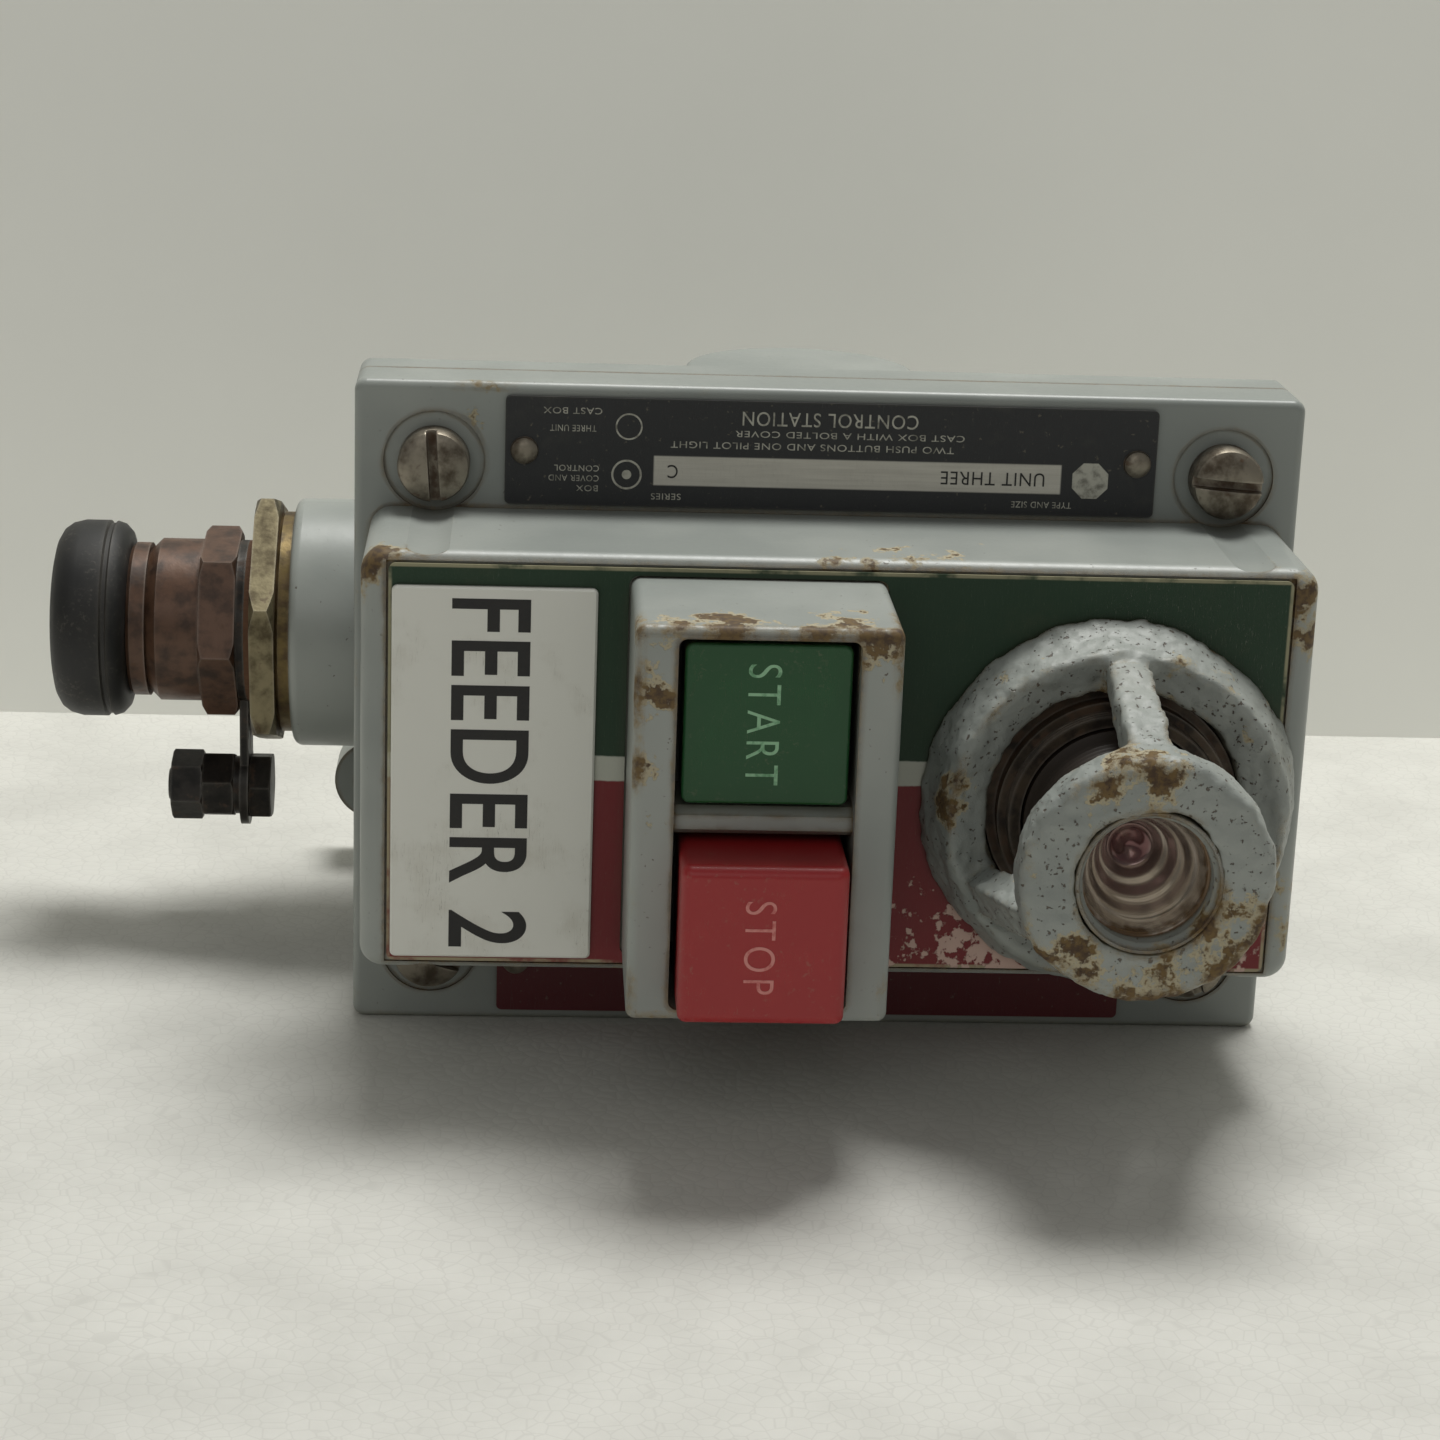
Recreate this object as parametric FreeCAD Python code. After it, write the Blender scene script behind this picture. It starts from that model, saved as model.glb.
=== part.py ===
import FreeCAD, Part
import math
import os

# A cast push-button control station for hazardous areas, standing on one long side.
# Frame: +X along the long side, away from the cable gland; +Y from the cover to the wall;
# +Z up as it stands. The origin is the centre of the face that bolts to a wall.
# All sizes are millimetres. The cover faces -Y, so a piece's front is its lowest y.

V = FreeCAD.Vector
AXES = {"X": V(1, 0, 0), "Y": V(0, 1, 0), "Z": V(0, 0, 1)}
SIDES = (-1, 1)

# ---- Driving dimensions -------------------------------------------------------------

# Row of pieces on the front face, from the cable gland's end: label, bezel, pilot guard
legend_margin = 4.0
label_inset = 0.5
label_length = 28.9
label_height = 55.3
label_bottom_gap = 0.85
label_t = 0.9
label_corner_r = 0.8
label_chamfer = 0.3
label_gap = 4.6
bezel_rail = 5.8
guard_gap = 6.0
guard_margin = 1.4
guard_bottom_margin = 0.4

# Button bezel and its two windows
window_width = 24.6
window_height = 24.5
crossbar_width = 4.0
crossbar_setback = 2.4
crossbar_depth = 12.0
bezel_end_wall = 1.7
bezel_rise = 26.0
bezel_edge_r = 1.4
bezel_screw_r = 1.6
bezel_screw_bite = 10.0

# Legend plate let into the front face
legend_border = 1.4
legend_t = 0.8
legend_gap = 0.35
legend_corner_r = 1.0
face_border = 1.6

# Raised chamber of the cover
chamber_rise = 28.5
chamber_corner_r = 3.4
chamber_inner_r = 2.0
chamber_edge_r = 2.6
chamber_wall = 5.0
chamber_front_t = 6.0

# Nameplates riveted above and below the chamber
nameplate_height = 16.2
nameplate_gap = 0.8
nameplate_end_gap = 10.4
nameplate_t = 0.7
nameplate_corner_r = 0.8
rivet_inset = 2.85
rivet_r = 1.2
rivet_head_r = 2.1
rivet_head_h = 1.2
rivet_length = 5.0
rivet_hole_spare = 0.5

# Flanged joint between the box and its cover
flange_end_step = 2.4
flange_side_border = 1.8
flange_corner_r = 1.8
flange_edge_r = 1.2
cover_flange_t = 10.0
box_flange_t = 8.0

# Slotted fillister screws that hold the cover; a turn of 0 lays the slot along X
cover_screw_inset_x = 11.75
cover_screw_inset_z = 11.95
cover_screw_r = 3.0
cover_screw_head_r = 5.3
cover_screw_head_h = 6.0
cover_screw_slot = 1.5
cover_screw_turns = (20, 86, 70, 4)
cover_screw_length = 26.0
cover_screw_boss_r = 6.5
cover_screw_boss_h = 10.0
cover_screw_hole_end = 1.5
spotface_r = 7.5
spotface_depth = 0.5

# Back box behind the flange
box_depth = 72.0
body_end_step = 6.5
body_side_step = 13.0
body_corner_r = 9.0
box_wall = 6.0
box_floor_r = 3.0

# Conduit hub on the left end, and blank bosses above and below that end short of the flange
port_from_wall = 33.5
hub_r = 20.25
hub_reach = 18.5
hub_edge_r = 1.5
hub_thread_r = 13.1
side_boss_r = 18.5
side_boss_rise = 7.2
side_boss_edge_r = 1.0
side_boss_x = -1.5

# Two lugs for the wall bolts: low on the left end, and level with the top on the right
lug_r = 7.0
lug_reach = 6.7
lug_low_inset = 2.0
lug_t = 9.0
lug_hole_r = 3.4

# Push buttons
button_gap = 0.95
button_travel = 4.0
button_corner_r = 1.2
button_wall = 2.4
start_recess = 1.6
start_depth = 9.0
start_edge_r = 0.5
stop_proud = 8.0
stop_depth = 18.6
stop_edge_r = 1.6
plunger_r = 4.0
plunger_reach = 12.5
plunger_socket = 4.0
plunger_chamfer = 0.5
button_boss_r = 6.2
bushing_r = 7.0
bushing_head_r = 9.0
bushing_head_t = 2.5
bushing_length = 9.5
clip_r = 6.4
clip_t = 0.8
clip_neck_r = 3.2
return_spring_r = 5.2
return_wire_r = 0.45
return_turns = 5

# Contact block behind each button
block_width = 38.0
block_spacing = 5.5
block_wall = 4.0
block_front_t = 5.0
block_back_t = 3.0
block_back_corner_r = 1.0
ledge_reach = 7.0
carrier_half = 5.5
carrier_side_room = 0.5
carrier_stem_half = 4.2
carrier_stand_off = 2.8
carrier_lead = 5.85
carrier_tail = 1.5
strip_t = 1.2
strip_width = 6.0
strip_gap_half = 7.5
tip_r = 1.5
tip_t = 0.8
tip_x = 10.5
bridge_t = 1.0
bridge_half = 12.0
bridge_width = 4.4
bridge_corner_r = 1.0
contact_gap = 0.1
contact_spring_r = 3.0
contact_wire_r = 0.3
contact_turns = 3
block_screw_r = 1.6
block_screw_head_r = 3.0
block_screw_head_h = 2.5
block_screw_x = 12.5
block_screw_inset = 2.9
block_screw_bite = 8.0
pillar_r = 4.0
terminal_screw_r = 1.6
terminal_screw_head_r = 2.8
terminal_screw_head_h = 2.4
terminal_screw_length = 9.0
screw_hole_spare = 1.0

# Pilot light
guard_wall = 8.7
guard_flare = 3.1
guard_rim_h = 9.5
guard_dish = 2.5
guard_disc_r = 17.5
guard_front_h = 36.0
guard_disc_t = 7.0
guard_arm_angles = (90, 210, 330)
guard_arm_width = 6.0
guard_arm_t = 5.0
lens_ring_r = 10.1
lens_ring_width = 1.2
lens_ring_t = 3.6
lens_ring_bevel = 0.7
holder_r = 18.2
holder_step_in = 1.4
holder_steps_h = (4.0, 6.5, 9.0)
holder_step_t = 2.5
holder_wall = 2.7
holder_rear_wall = 1.1
holder_rear = 16.0
holder_lip_t = 1.0
lens_r = 13.4
lens_neck_r = 12.6
lens_neck_h = 16.0
lens_nose_r = 11.2
lens_nose_h = 24.0
lens_clear = 0.3
lens_flange_t = 3.0
lens_bowl = ((8.6, 3.0), (7.2, 6.5), (5.8, 10.0), (4.3, 13.0))
bowl_riser = 2.4
bowl_tread = 0.9
gasket_t = 1.5
clamp_ring_t = 3.5
locknut_wall = 3.3
locknut_t = 4.0
locknut_chamfer = 0.6
locknut_notch = 1.5
locknut_notch_depth = 2.0
lamp_r = 5.0
lamp_length = 24.0
lamp_room = 2.5
lamp_base_r = 4.4
lamp_base_length = 9.0
socket_r = 11.8
socket_setback = 1.5
transformer_width = 34.0
transformer_height = 38.0
transformer_depth = 32.0
transformer_corner_r = 2.0
collar_wall = 2.4
collar_length = 12.0

# Cable gland, from the hub outwards
collar_r = 18.0
collar_t = 2.3
adapter_af = 38.0
adapter_hex_t = 3.9
adapter_turn = 19.0
adapter_bore_r = 10.0
washer_r = 13.2
washer_t = 1.4
tag_t = 1.4
tag_tail_width = 9.0
tag_end_r = 6.5
tag_bolt_gap = 0.59
gland_af = 27.0
gland_turn = -8.8
gland_hex_t = 5.8
gland_body_r = 13.25
gland_body_length = 8.7
gland_chamfer = 1.8
gland_spigot = 16.0
gland_ring_r = 12.5
gland_ring_t = 3.0
gland_ring_chamfer = 0.6
cable_bore_r = 7.0
seal_r = 10.0
seal_length = 6.0
plug_head_r = 16.0
plug_head_t = 12.0
plug_edge_r = 4.3
plug_inner_edge_r = 2.6
plug_stem_length = 14.0
tag_bolt_r = 3.0
tag_bolt_af = 10.0
tag_bolt_head_t = 3.6
tag_bolt_turn = 12.0
tag_nut_t = 5.1
tag_nut_turns = (20, 47)
tag_washer_r = 4.8
tag_washer_t = 1.2
tag_washer_split = 0.7
bolt_end = 0.6

# Screw for the earth wire inside the box
ground_inset_x = 12.0
ground_inset_z = 13.0
ground_boss_r = 6.0
ground_boss_h = 4.0
ground_screw_r = 2.5
ground_head_r = 4.5
ground_head_h = 3.0
ground_screw_length = 7.0

# Clearances
thread_clear = 0.05
slide_clear = 0.05
drop_in = 0.25
loose_clear = 0.3
guard_clear = 0.4
lens_lip_clear = 0.4

# ---- Sizes that follow from them ----------------------------------------------------

guard_bore_r = holder_r + guard_clear
guard_base_r = guard_bore_r + guard_wall
guard_rim_r = guard_base_r - guard_flare
bezel_width = window_width + 2 * bezel_rail
bezel_height = 2 * window_height + crossbar_width + 2 * bezel_end_wall
legend_height = bezel_height + 2 * legend_border
face_row = label_inset + label_length + label_gap + bezel_width + guard_gap + 2 * guard_base_r
chamber_length = legend_margin + face_row + guard_margin
chamber_height = max(legend_height + 2 * face_border, 2 * (guard_base_r + guard_bottom_margin))
legend_length = chamber_length - 2 * legend_margin
flange_length = chamber_length + 2 * flange_end_step
flange_height = chamber_height + 2 * (nameplate_gap + nameplate_height + flange_side_border)
body_length = flange_length - 2 * body_end_step
body_height = flange_height - 2 * body_side_step
inner_length = body_length - 2 * box_wall
inner_height = body_height - 2 * box_wall
cover_screw_dx = flange_length - 2 * cover_screw_inset_x
cover_screw_dz = flange_height - 2 * cover_screw_inset_z
nameplate_length = cover_screw_dx - 2 * nameplate_end_gap
nameplate_rivet_dx = nameplate_length - 2 * rivet_inset
window_pitch = window_height + crossbar_width
block_height = window_pitch - block_spacing
block_cavity_half = carrier_half + carrier_side_room
block_screw_z = block_height / 2 - block_screw_inset
contact_spring_solid = 2 * contact_wire_r * contact_turns
window_r = lens_ring_r - lens_ring_width
holder_steps = [(holder_r - k * holder_step_in, h) for k, h in enumerate(holder_steps_h)]
holder_bore_r = holder_r - holder_wall
holder_rear_r = holder_bore_r + holder_rear_wall
holder_lip_r = lens_r + lens_lip_clear
lamp_room_r = lamp_r + lamp_room
locknut_r = holder_r + locknut_wall
tag_bolt_drop = (adapter_af + tag_bolt_af) / math.sqrt(3) + tag_bolt_gap

# ---- Planes and centres that follow from them ---------------------------------------

label_x = -legend_length / 2 + label_inset + label_length / 2
label_z = -legend_height / 2 + label_bottom_gap + label_height / 2
bezel_x = label_x + label_length / 2 + label_gap + bezel_width / 2
pilot_x = chamber_length / 2 - guard_margin - guard_base_r
pilot_z = -chamber_height / 2 + guard_bottom_margin + guard_base_r
nameplate_z = chamber_height / 2 + nameplate_gap + nameplate_height / 2
lug_x = body_length / 2 + lug_reach
lug_places = [(-lug_x, lug_low_inset - body_height / 2), (lug_x, body_height / 2 - lug_r)]
boss_end_z = body_height / 2 + side_boss_rise
ground_x = inner_length / 2 - ground_inset_x
ground_z = -inner_height / 2 + ground_inset_z
joint_y = -box_depth
flange_front_y = joint_y - cover_flange_t
face_y = flange_front_y - chamber_rise
inner_face_y = face_y + chamber_front_t
bezel_y = face_y - bezel_rise
button_z = {"start": window_pitch / 2, "stop": -window_pitch / 2}
button_front = {"start": bezel_y + start_recess, "stop": bezel_y - stop_proud}
button_back = {
    "start": button_front["start"] + start_depth,
    "stop": button_front["stop"] + stop_depth,
}
button_edge_r = {"start": start_edge_r, "stop": stop_edge_r}
bushing_end_y = face_y + bushing_length
plunger_end_y = face_y + plunger_reach
clip_y = bushing_end_y + drop_in
block_front_y = plunger_end_y + loose_clear + carrier_stand_off
carrier_shoulder_y = block_front_y + block_front_t + drop_in
bridge_y = {"start": carrier_shoulder_y + carrier_lead}
strip_y = bridge_y["start"] + bridge_t + button_travel + contact_gap + tip_t
bridge_y["stop"] = strip_y + strip_t + tip_t + contact_gap
carrier_rear_y = bridge_y["stop"] + bridge_t + carrier_tail
block_plate_y = carrier_rear_y + button_travel + contact_spring_solid + loose_clear
block_rear_y = block_plate_y + block_back_t
block_depth = block_rear_y - block_front_y
holder_lip_h = -holder_lip_t
lens_flange_h = holder_lip_h - lens_flange_t
gasket_h = lens_flange_h - gasket_t
socket_h = gasket_h - socket_setback
locknut_h = -(chamber_front_t + locknut_t)
transformer_h = locknut_h - collar_length
transformer_rear_y = face_y - transformer_h + transformer_depth
port_y = -port_from_wall
hub_face_x = -body_length / 2 - hub_reach
collar_x = hub_face_x - collar_t
adapter_x = collar_x - adapter_hex_t
washer_x = adapter_x - washer_t
tag_x = washer_x - tag_t
gland_hex_x = tag_x - gland_hex_t
gland_end_x = gland_hex_x - gland_body_length
ring_x = gland_end_x - gland_ring_t
plug_x = ring_x - plug_head_t


# ---- Plain shapes -------------------------------------------------------------------

def block(x0, x1, y0, y1, z0, z1):
    return Part.makeBox(x1 - x0, y1 - y0, z1 - z0, V(x0, y0, z0))


def edges_along(shape, axis):
    """The straight edges of a shape that run along one axis."""
    found = []
    for edge in shape.Edges:
        ends = [v.Point for v in edge.Vertexes]
        if len(ends) == 2 and (ends[1] - ends[0]).cross(AXES[axis]).Length < 1e-6:
            found.append(edge)
    return found


def edges_on(shape, axis, value):
    """The edges of a shape that lie wholly on one plane across an axis."""
    low = axis + "Min"
    high = axis + "Max"
    found = []
    for edge in shape.Edges:
        box = edge.BoundBox
        if abs(getattr(box, low) - value) < 1e-4 and abs(getattr(box, high) - value) < 1e-4:
            found.append(edge)
    return found


def slab(x_mid, width, y0, y1, z_mid, height, corner_r):
    """A block seen from the front as a rectangle with rounded corners."""
    body = block(x_mid - width / 2, x_mid + width / 2, y0, y1, z_mid - height / 2, z_mid + height / 2)
    return body.makeFillet(corner_r, edges_along(body, "Y"))


def round_front(shape, y, r):
    return shape.makeFillet(r, edges_on(shape, "Y", y))


def rod(axis, start, r, length):
    """A cylinder from a point, along +axis."""
    return Part.makeCylinder(r, length, start, AXES[axis])


def tube(axis, start, r_out, r_in, length):
    return rod(axis, start, r_out, length).cut(rod(axis, start, r_in, length))


def turned(axis, start, profile):
    """A solid of revolution about +axis through start, from (radius, distance) points."""
    direction = AXES[axis]
    side = V(0, 0, 1) if axis != "Z" else V(1, 0, 0)
    points = [start + direction * along + side * r for r, along in profile]
    points.append(points[0])
    face = Part.Face(Part.makePolygon(points))
    return face.revolve(start, direction, 360)


def hexagon(axis, start, across_flats, length, turn):
    """A hexagonal prism along +axis; turn is a corner's angle in degrees."""
    corner_r = across_flats / math.sqrt(3)
    points = []
    for k in range(7):
        angle = math.radians(turn + 60 * k)
        if axis == "X":
            offset = V(0, -math.cos(angle) * corner_r, math.sin(angle) * corner_r)
        else:
            offset = V(math.cos(angle) * corner_r, 0, math.sin(angle) * corner_r)
        points.append(start + offset)
    prism = Part.Face(Part.makePolygon(points)).extrude(AXES[axis] * length)
    point = corner_r - across_flats / 2
    end_r = corner_r - point * 0.55
    slope = point * 0.32
    lathe = turned(axis, start, [
        (0, 0), (end_r, 0), (corner_r, slope), (corner_r, length - slope), (end_r, length), (0, length),
    ])
    return prism.common(lathe)


def coil(start, mean_r, wire_r, length, turns):
    """A compression spring along +Y: level turns joined by one straight wire at the side."""
    pitch = (length - 2 * wire_r) / (turns - 1)
    rings = []
    for k in range(turns):
        centre = start + V(0, wire_r + k * pitch, 0)
        rings.append(Part.makeTorus(mean_r, wire_r, centre, AXES["Y"]))
    side = start + V(mean_r, wire_r, 0)
    return fused(rings + [rod("Y", side, wire_r * 0.8, length - 2 * wire_r)])


def slotted_screw(head_front, head_r, head_h, shank_r, length, slot_w, slot_turn, dome, axis_sign):
    """A slotted screw along Y. axis_sign +1 points its shank to +Y, -1 to -Y."""
    head = turned("Y", V(0, 0, 0), [
        (0, 0), (head_r * 0.55, dome * 0.3), (head_r, dome * 1.3), (head_r, head_h), (0, head_h),
    ])
    slot_depth = head_h * 0.45
    slot = block(-head_r * 1.1, head_r * 1.1, -0.1, slot_depth, -slot_w / 2, slot_w / 2)
    slot.rotate(V(0, 0, 0), AXES["Y"], slot_turn)
    screw = head.cut(slot).fuse(rod("Y", V(0, head_h, 0), shank_r, length))
    if axis_sign < 0:
        screw.rotate(V(0, 0, 0), AXES["X"], 180)
    screw.translate(head_front)
    return screw


def four_corners(dx, dz):
    return [(sx * dx / 2, sz * dz / 2) for sx in SIDES for sz in SIDES]


def fused(shapes):
    result = shapes[0]
    for shape in shapes[1:]:
        result = result.fuse(shape)
    return result.removeSplitter()


def group(shapes):
    return Part.makeCompound(shapes)


# ---- Enclosure ----------------------------------------------------------------------

cover_screw_places = four_corners(cover_screw_dx, cover_screw_dz)


def make_back_box():
    flange = slab(0, flange_length, joint_y, joint_y + box_flange_t, 0, flange_height, flange_corner_r)
    flange = round_front(flange, joint_y + box_flange_t, flange_edge_r)
    body = slab(0, body_length, joint_y, 0, 0, body_height, body_corner_r)
    hub = rod("X", V(hub_face_x, port_y, 0), hub_r, hub_reach + body_corner_r)
    hub = hub.makeFillet(hub_edge_r, edges_on(hub, "X", hub_face_x))
    boss = rod("Z", V(side_boss_x, port_y, -boss_end_z), side_boss_r, 2 * boss_end_z)
    ends = edges_on(boss, "Z", -boss_end_z) + edges_on(boss, "Z", boss_end_z)
    boss = boss.makeFillet(side_boss_edge_r, ends)
    parts = [flange, body, hub, boss]
    for x, z in lug_places:
        arm_in = math.copysign(body_length / 2 - body_corner_r, x)
        arm = block(min(x, arm_in), max(x, arm_in), -lug_t, 0, z - lug_r, z + lug_r)
        parts += [rod("Y", V(x, -lug_t, z), lug_r, lug_t), arm]
    for x, z in cover_screw_places:
        start = V(x, joint_y + box_flange_t / 2, z)
        parts.append(rod("Y", start, cover_screw_boss_r, box_flange_t / 2 + cover_screw_boss_h))
    box = fused(parts)
    cavity = slab(0, inner_length, joint_y, -box_wall, 0, inner_height, body_corner_r - box_wall / 2)
    box = box.cut(round_front(cavity, -box_wall, box_floor_r))
    ground_start = V(ground_x, -box_wall - ground_boss_h, ground_z)
    box = box.fuse(rod("Y", ground_start, ground_boss_r, ground_boss_h + box_wall / 2))
    ground_hole = rod("Y", ground_start, ground_screw_r + thread_clear,
                      ground_screw_length + screw_hole_spare)
    port = rod("X", V(hub_face_x, port_y, 0), hub_thread_r, hub_reach + box_wall + screw_hole_spare)
    holes = [ground_hole, port]
    for x, z in cover_screw_places:
        depth = box_flange_t + cover_screw_boss_h - cover_screw_hole_end
        holes.append(rod("Y", V(x, joint_y, z), cover_screw_r + thread_clear, depth))
    for x, z in lug_places:
        holes.append(rod("Y", V(x, -lug_t, z), lug_hole_r, lug_t))
    return box.cut(group(holes)).removeSplitter()


def bezel_screw_places():
    side = (bezel_width + window_width) / 4
    return [(bezel_x + sx * side, sz * window_pitch / 2) for sx in SIDES for sz in SIDES]


def block_screw_places():
    """One screw in each of two opposite corners of both contact blocks."""
    places = []
    for z in button_z.values():
        for side in SIDES:
            places.append((bezel_x + side * block_screw_x, z + side * block_screw_z))
    return places


def rivet_places():
    return four_corners(nameplate_rivet_dx, 2 * nameplate_z)


def make_cover():
    flange = slab(0, flange_length, flange_front_y, joint_y, 0, flange_height, flange_corner_r)
    flange = round_front(flange, flange_front_y, flange_edge_r)
    chamber = slab(0, chamber_length, face_y, joint_y, 0, chamber_height, chamber_corner_r)
    chamber = round_front(chamber, face_y, chamber_edge_r)
    cover = flange.fuse(chamber)
    cavity = slab(0, chamber_length - 2 * chamber_wall, inner_face_y, joint_y,
                  0, chamber_height - 2 * chamber_wall, chamber_inner_r)
    cover = cover.cut(cavity)
    root_y = inner_face_y - chamber_front_t / 2
    for x, z in block_screw_places():
        cover = cover.fuse(rod("Y", V(x, root_y, z), pillar_r, block_front_y - root_y))
    recess_length = legend_length + 2 * legend_gap
    recess_height = legend_height + 2 * legend_gap
    recess = block(-recess_length / 2, recess_length / 2, face_y, face_y + legend_t,
                   -recess_height / 2, recess_height / 2)
    cuts = [recess]
    for x, z in cover_screw_places:
        start = V(x, flange_front_y, z)
        cuts.append(rod("Y", start, cover_screw_r + loose_clear, cover_flange_t))
        spot_start = start - V(0, chamber_rise, 0)
        cuts.append(rod("Y", spot_start, spotface_r, chamber_rise + spotface_depth))
    for x, z in bezel_screw_places():
        cuts.append(rod("Y", V(x, face_y, z), bezel_screw_r + loose_clear, chamber_front_t))
    for x, z in block_screw_places():
        depth = block_screw_bite + screw_hole_spare
        cuts.append(rod("Y", V(x, block_front_y - depth, z), block_screw_r + thread_clear, depth))
    for z in button_z.values():
        cuts.append(rod("Y", V(bezel_x, face_y, z), bushing_r + thread_clear, chamber_front_t))
    cuts.append(rod("Y", V(pilot_x, face_y, pilot_z), holder_r + thread_clear, chamber_front_t))
    for x, z in rivet_places():
        cuts.append(rod("Y", V(x, flange_front_y, z), rivet_r + thread_clear, rivet_length))
    return cover.cut(group(cuts)).removeSplitter()


def make_cover_screws():
    screws = []
    for (x, z), turn in zip(cover_screw_places, cover_screw_turns):
        front = V(x, flange_front_y + spotface_depth - cover_screw_head_h, z)
        screws.append(slotted_screw(front, cover_screw_head_r, cover_screw_head_h, cover_screw_r,
                                    cover_screw_length, cover_screw_slot, turn, 0.6, 1))
    return group(screws)


def make_legend_plate():
    plate = slab(0, legend_length, face_y, face_y + legend_t, 0, legend_height,
                 legend_corner_r)
    seat_width = bezel_width + 2 * drop_in
    seat_height = bezel_height + 2 * drop_in
    bezel_hole = slab(bezel_x, seat_width, face_y, face_y + legend_t, 0, seat_height, bezel_edge_r)
    holder_hole = rod("Y", V(pilot_x, face_y, pilot_z), holder_r + loose_clear, legend_t)
    return plate.cut(bezel_hole).cut(holder_hole)


def make_name_label():
    front = face_y - label_t
    label = slab(label_x, label_length, front, face_y, label_z, label_height, label_corner_r)
    return label.makeChamfer(label_chamfer, edges_on(label, "Y", front))


def make_nameplate(side):
    y0 = flange_front_y - nameplate_t
    plate = slab(0, nameplate_length, y0, flange_front_y, side * nameplate_z, nameplate_height,
                 nameplate_corner_r)
    for sx in SIDES:
        hole = V(sx * nameplate_rivet_dx / 2, y0, side * nameplate_z)
        plate = plate.cut(rod("Y", hole, rivet_r + thread_clear, nameplate_t))
    return plate


def make_plate_rivets():
    rivets = []
    end = rivet_head_h + rivet_length - rivet_hole_spare
    for x, z in rivet_places():
        start = V(x, flange_front_y - nameplate_t - rivet_head_h, z)
        rivets.append(turned("Y", start, [
            (0, 0), (rivet_head_r * 0.6, rivet_head_h * 0.2), (rivet_head_r, rivet_head_h * 0.75),
            (rivet_head_r, rivet_head_h), (rivet_r, rivet_head_h), (rivet_r, end), (0, end),
        ]))
    return group(rivets)


# ---- Buttons ------------------------------------------------------------------------

def make_button_bezel():
    y_back = face_y + legend_t
    bezel = slab(bezel_x, bezel_width, bezel_y, y_back, 0, bezel_height, bezel_edge_r)
    bezel = round_front(bezel, bezel_y, bezel_edge_r)
    throat_height = 2 * window_height + crossbar_width
    throat = slab(bezel_x, window_width, bezel_y, y_back, 0, throat_height, button_corner_r)
    bezel = bezel.cut(throat)
    bar_y = bezel_y + crossbar_setback
    half = crossbar_width / 2
    slope = half * 0.5
    outline = [(bar_y, -half + slope), (bar_y, half - slope), (bar_y + slope * 1.6, half),
               (bar_y + crossbar_depth, half), (bar_y + crossbar_depth, -half),
               (bar_y + slope * 1.6, -half), (bar_y, -half + slope)]
    x0 = bezel_x - window_width / 2 - 1
    bar = Part.Face(Part.makePolygon([V(x0, y, z) for y, z in outline]))
    bezel = bezel.fuse(bar.extrude(V(window_width + 2, 0, 0)))
    for x, z in bezel_screw_places():
        depth = bezel_screw_bite + screw_hole_spare
        bezel = bezel.cut(rod("Y", V(x, y_back - depth, z), bezel_screw_r + thread_clear, depth))
    return bezel.removeSplitter()


def make_bezel_screws():
    screws = []
    for x, z in bezel_screw_places():
        head_front = V(x, inner_face_y + block_screw_head_h, z)
        length = chamber_front_t - legend_t + bezel_screw_bite
        screws.append(slotted_screw(head_front, block_screw_head_r, block_screw_head_h, bezel_screw_r,
                                    length, 0.8, 35, 0.4, -1))
    return group(screws)


def make_button(name):
    z = button_z[name]
    front = button_front[name]
    back = button_back[name]
    width = window_width - 2 * button_gap
    height = window_height - 2 * button_gap
    cap = slab(bezel_x, width, front, back, z, height, button_corner_r)
    cap = round_front(cap, front, button_edge_r[name])
    hollow = block(bezel_x - width / 2 + button_wall, bezel_x + width / 2 - button_wall,
                   front + button_wall, back,
                   z - height / 2 + button_wall, z + height / 2 - button_wall)
    boss = rod("Y", V(bezel_x, front + button_wall / 2, z), button_boss_r, back - front - button_wall / 2)
    socket = rod("Y", V(bezel_x, back - plunger_socket, z), plunger_r + slide_clear / 2, plunger_socket)
    return cap.cut(hollow).fuse(boss).cut(socket).removeSplitter()


def make_plunger(name):
    front = button_back[name] - plunger_socket + slide_clear
    stem = rod("Y", V(bezel_x, front, button_z[name]), plunger_r, plunger_end_y - front)
    stem = stem.makeChamfer(plunger_chamfer, edges_on(stem, "Y", plunger_end_y))
    groove = tube("Y", V(bezel_x, clip_y, button_z[name]), plunger_r + 1, clip_neck_r, clip_t)
    return stem.cut(groove)


def make_clip(name):
    start = V(bezel_x, clip_y + slide_clear, button_z[name])
    thickness = clip_t - 2 * slide_clear
    ring = tube("Y", start, clip_r, clip_neck_r + slide_clear, thickness)
    mouth = block(bezel_x - clip_neck_r * 0.8, bezel_x + clip_neck_r * 0.8, clip_y, clip_y + clip_t,
                  button_z[name] - clip_r, button_z[name])
    return ring.cut(mouth)


def make_bushing(name):
    start = V(bezel_x, face_y, button_z[name])
    head = rod("Y", start - V(0, bushing_head_t, 0), bushing_head_r, bushing_head_t)
    barrel = rod("Y", start, bushing_r, bushing_length)
    length = bushing_head_t + bushing_length
    bore = rod("Y", start - V(0, bushing_head_t, 0), plunger_r + slide_clear, length)
    return head.fuse(barrel).cut(bore).removeSplitter()


def make_return_spring(name):
    start_y = button_back[name] + slide_clear
    end_y = face_y - bushing_head_t - slide_clear
    start = V(bezel_x, start_y, button_z[name])
    return coil(start, return_spring_r, return_wire_r, end_y - start_y, return_turns)


# ---- Contact blocks -----------------------------------------------------------------

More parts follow.
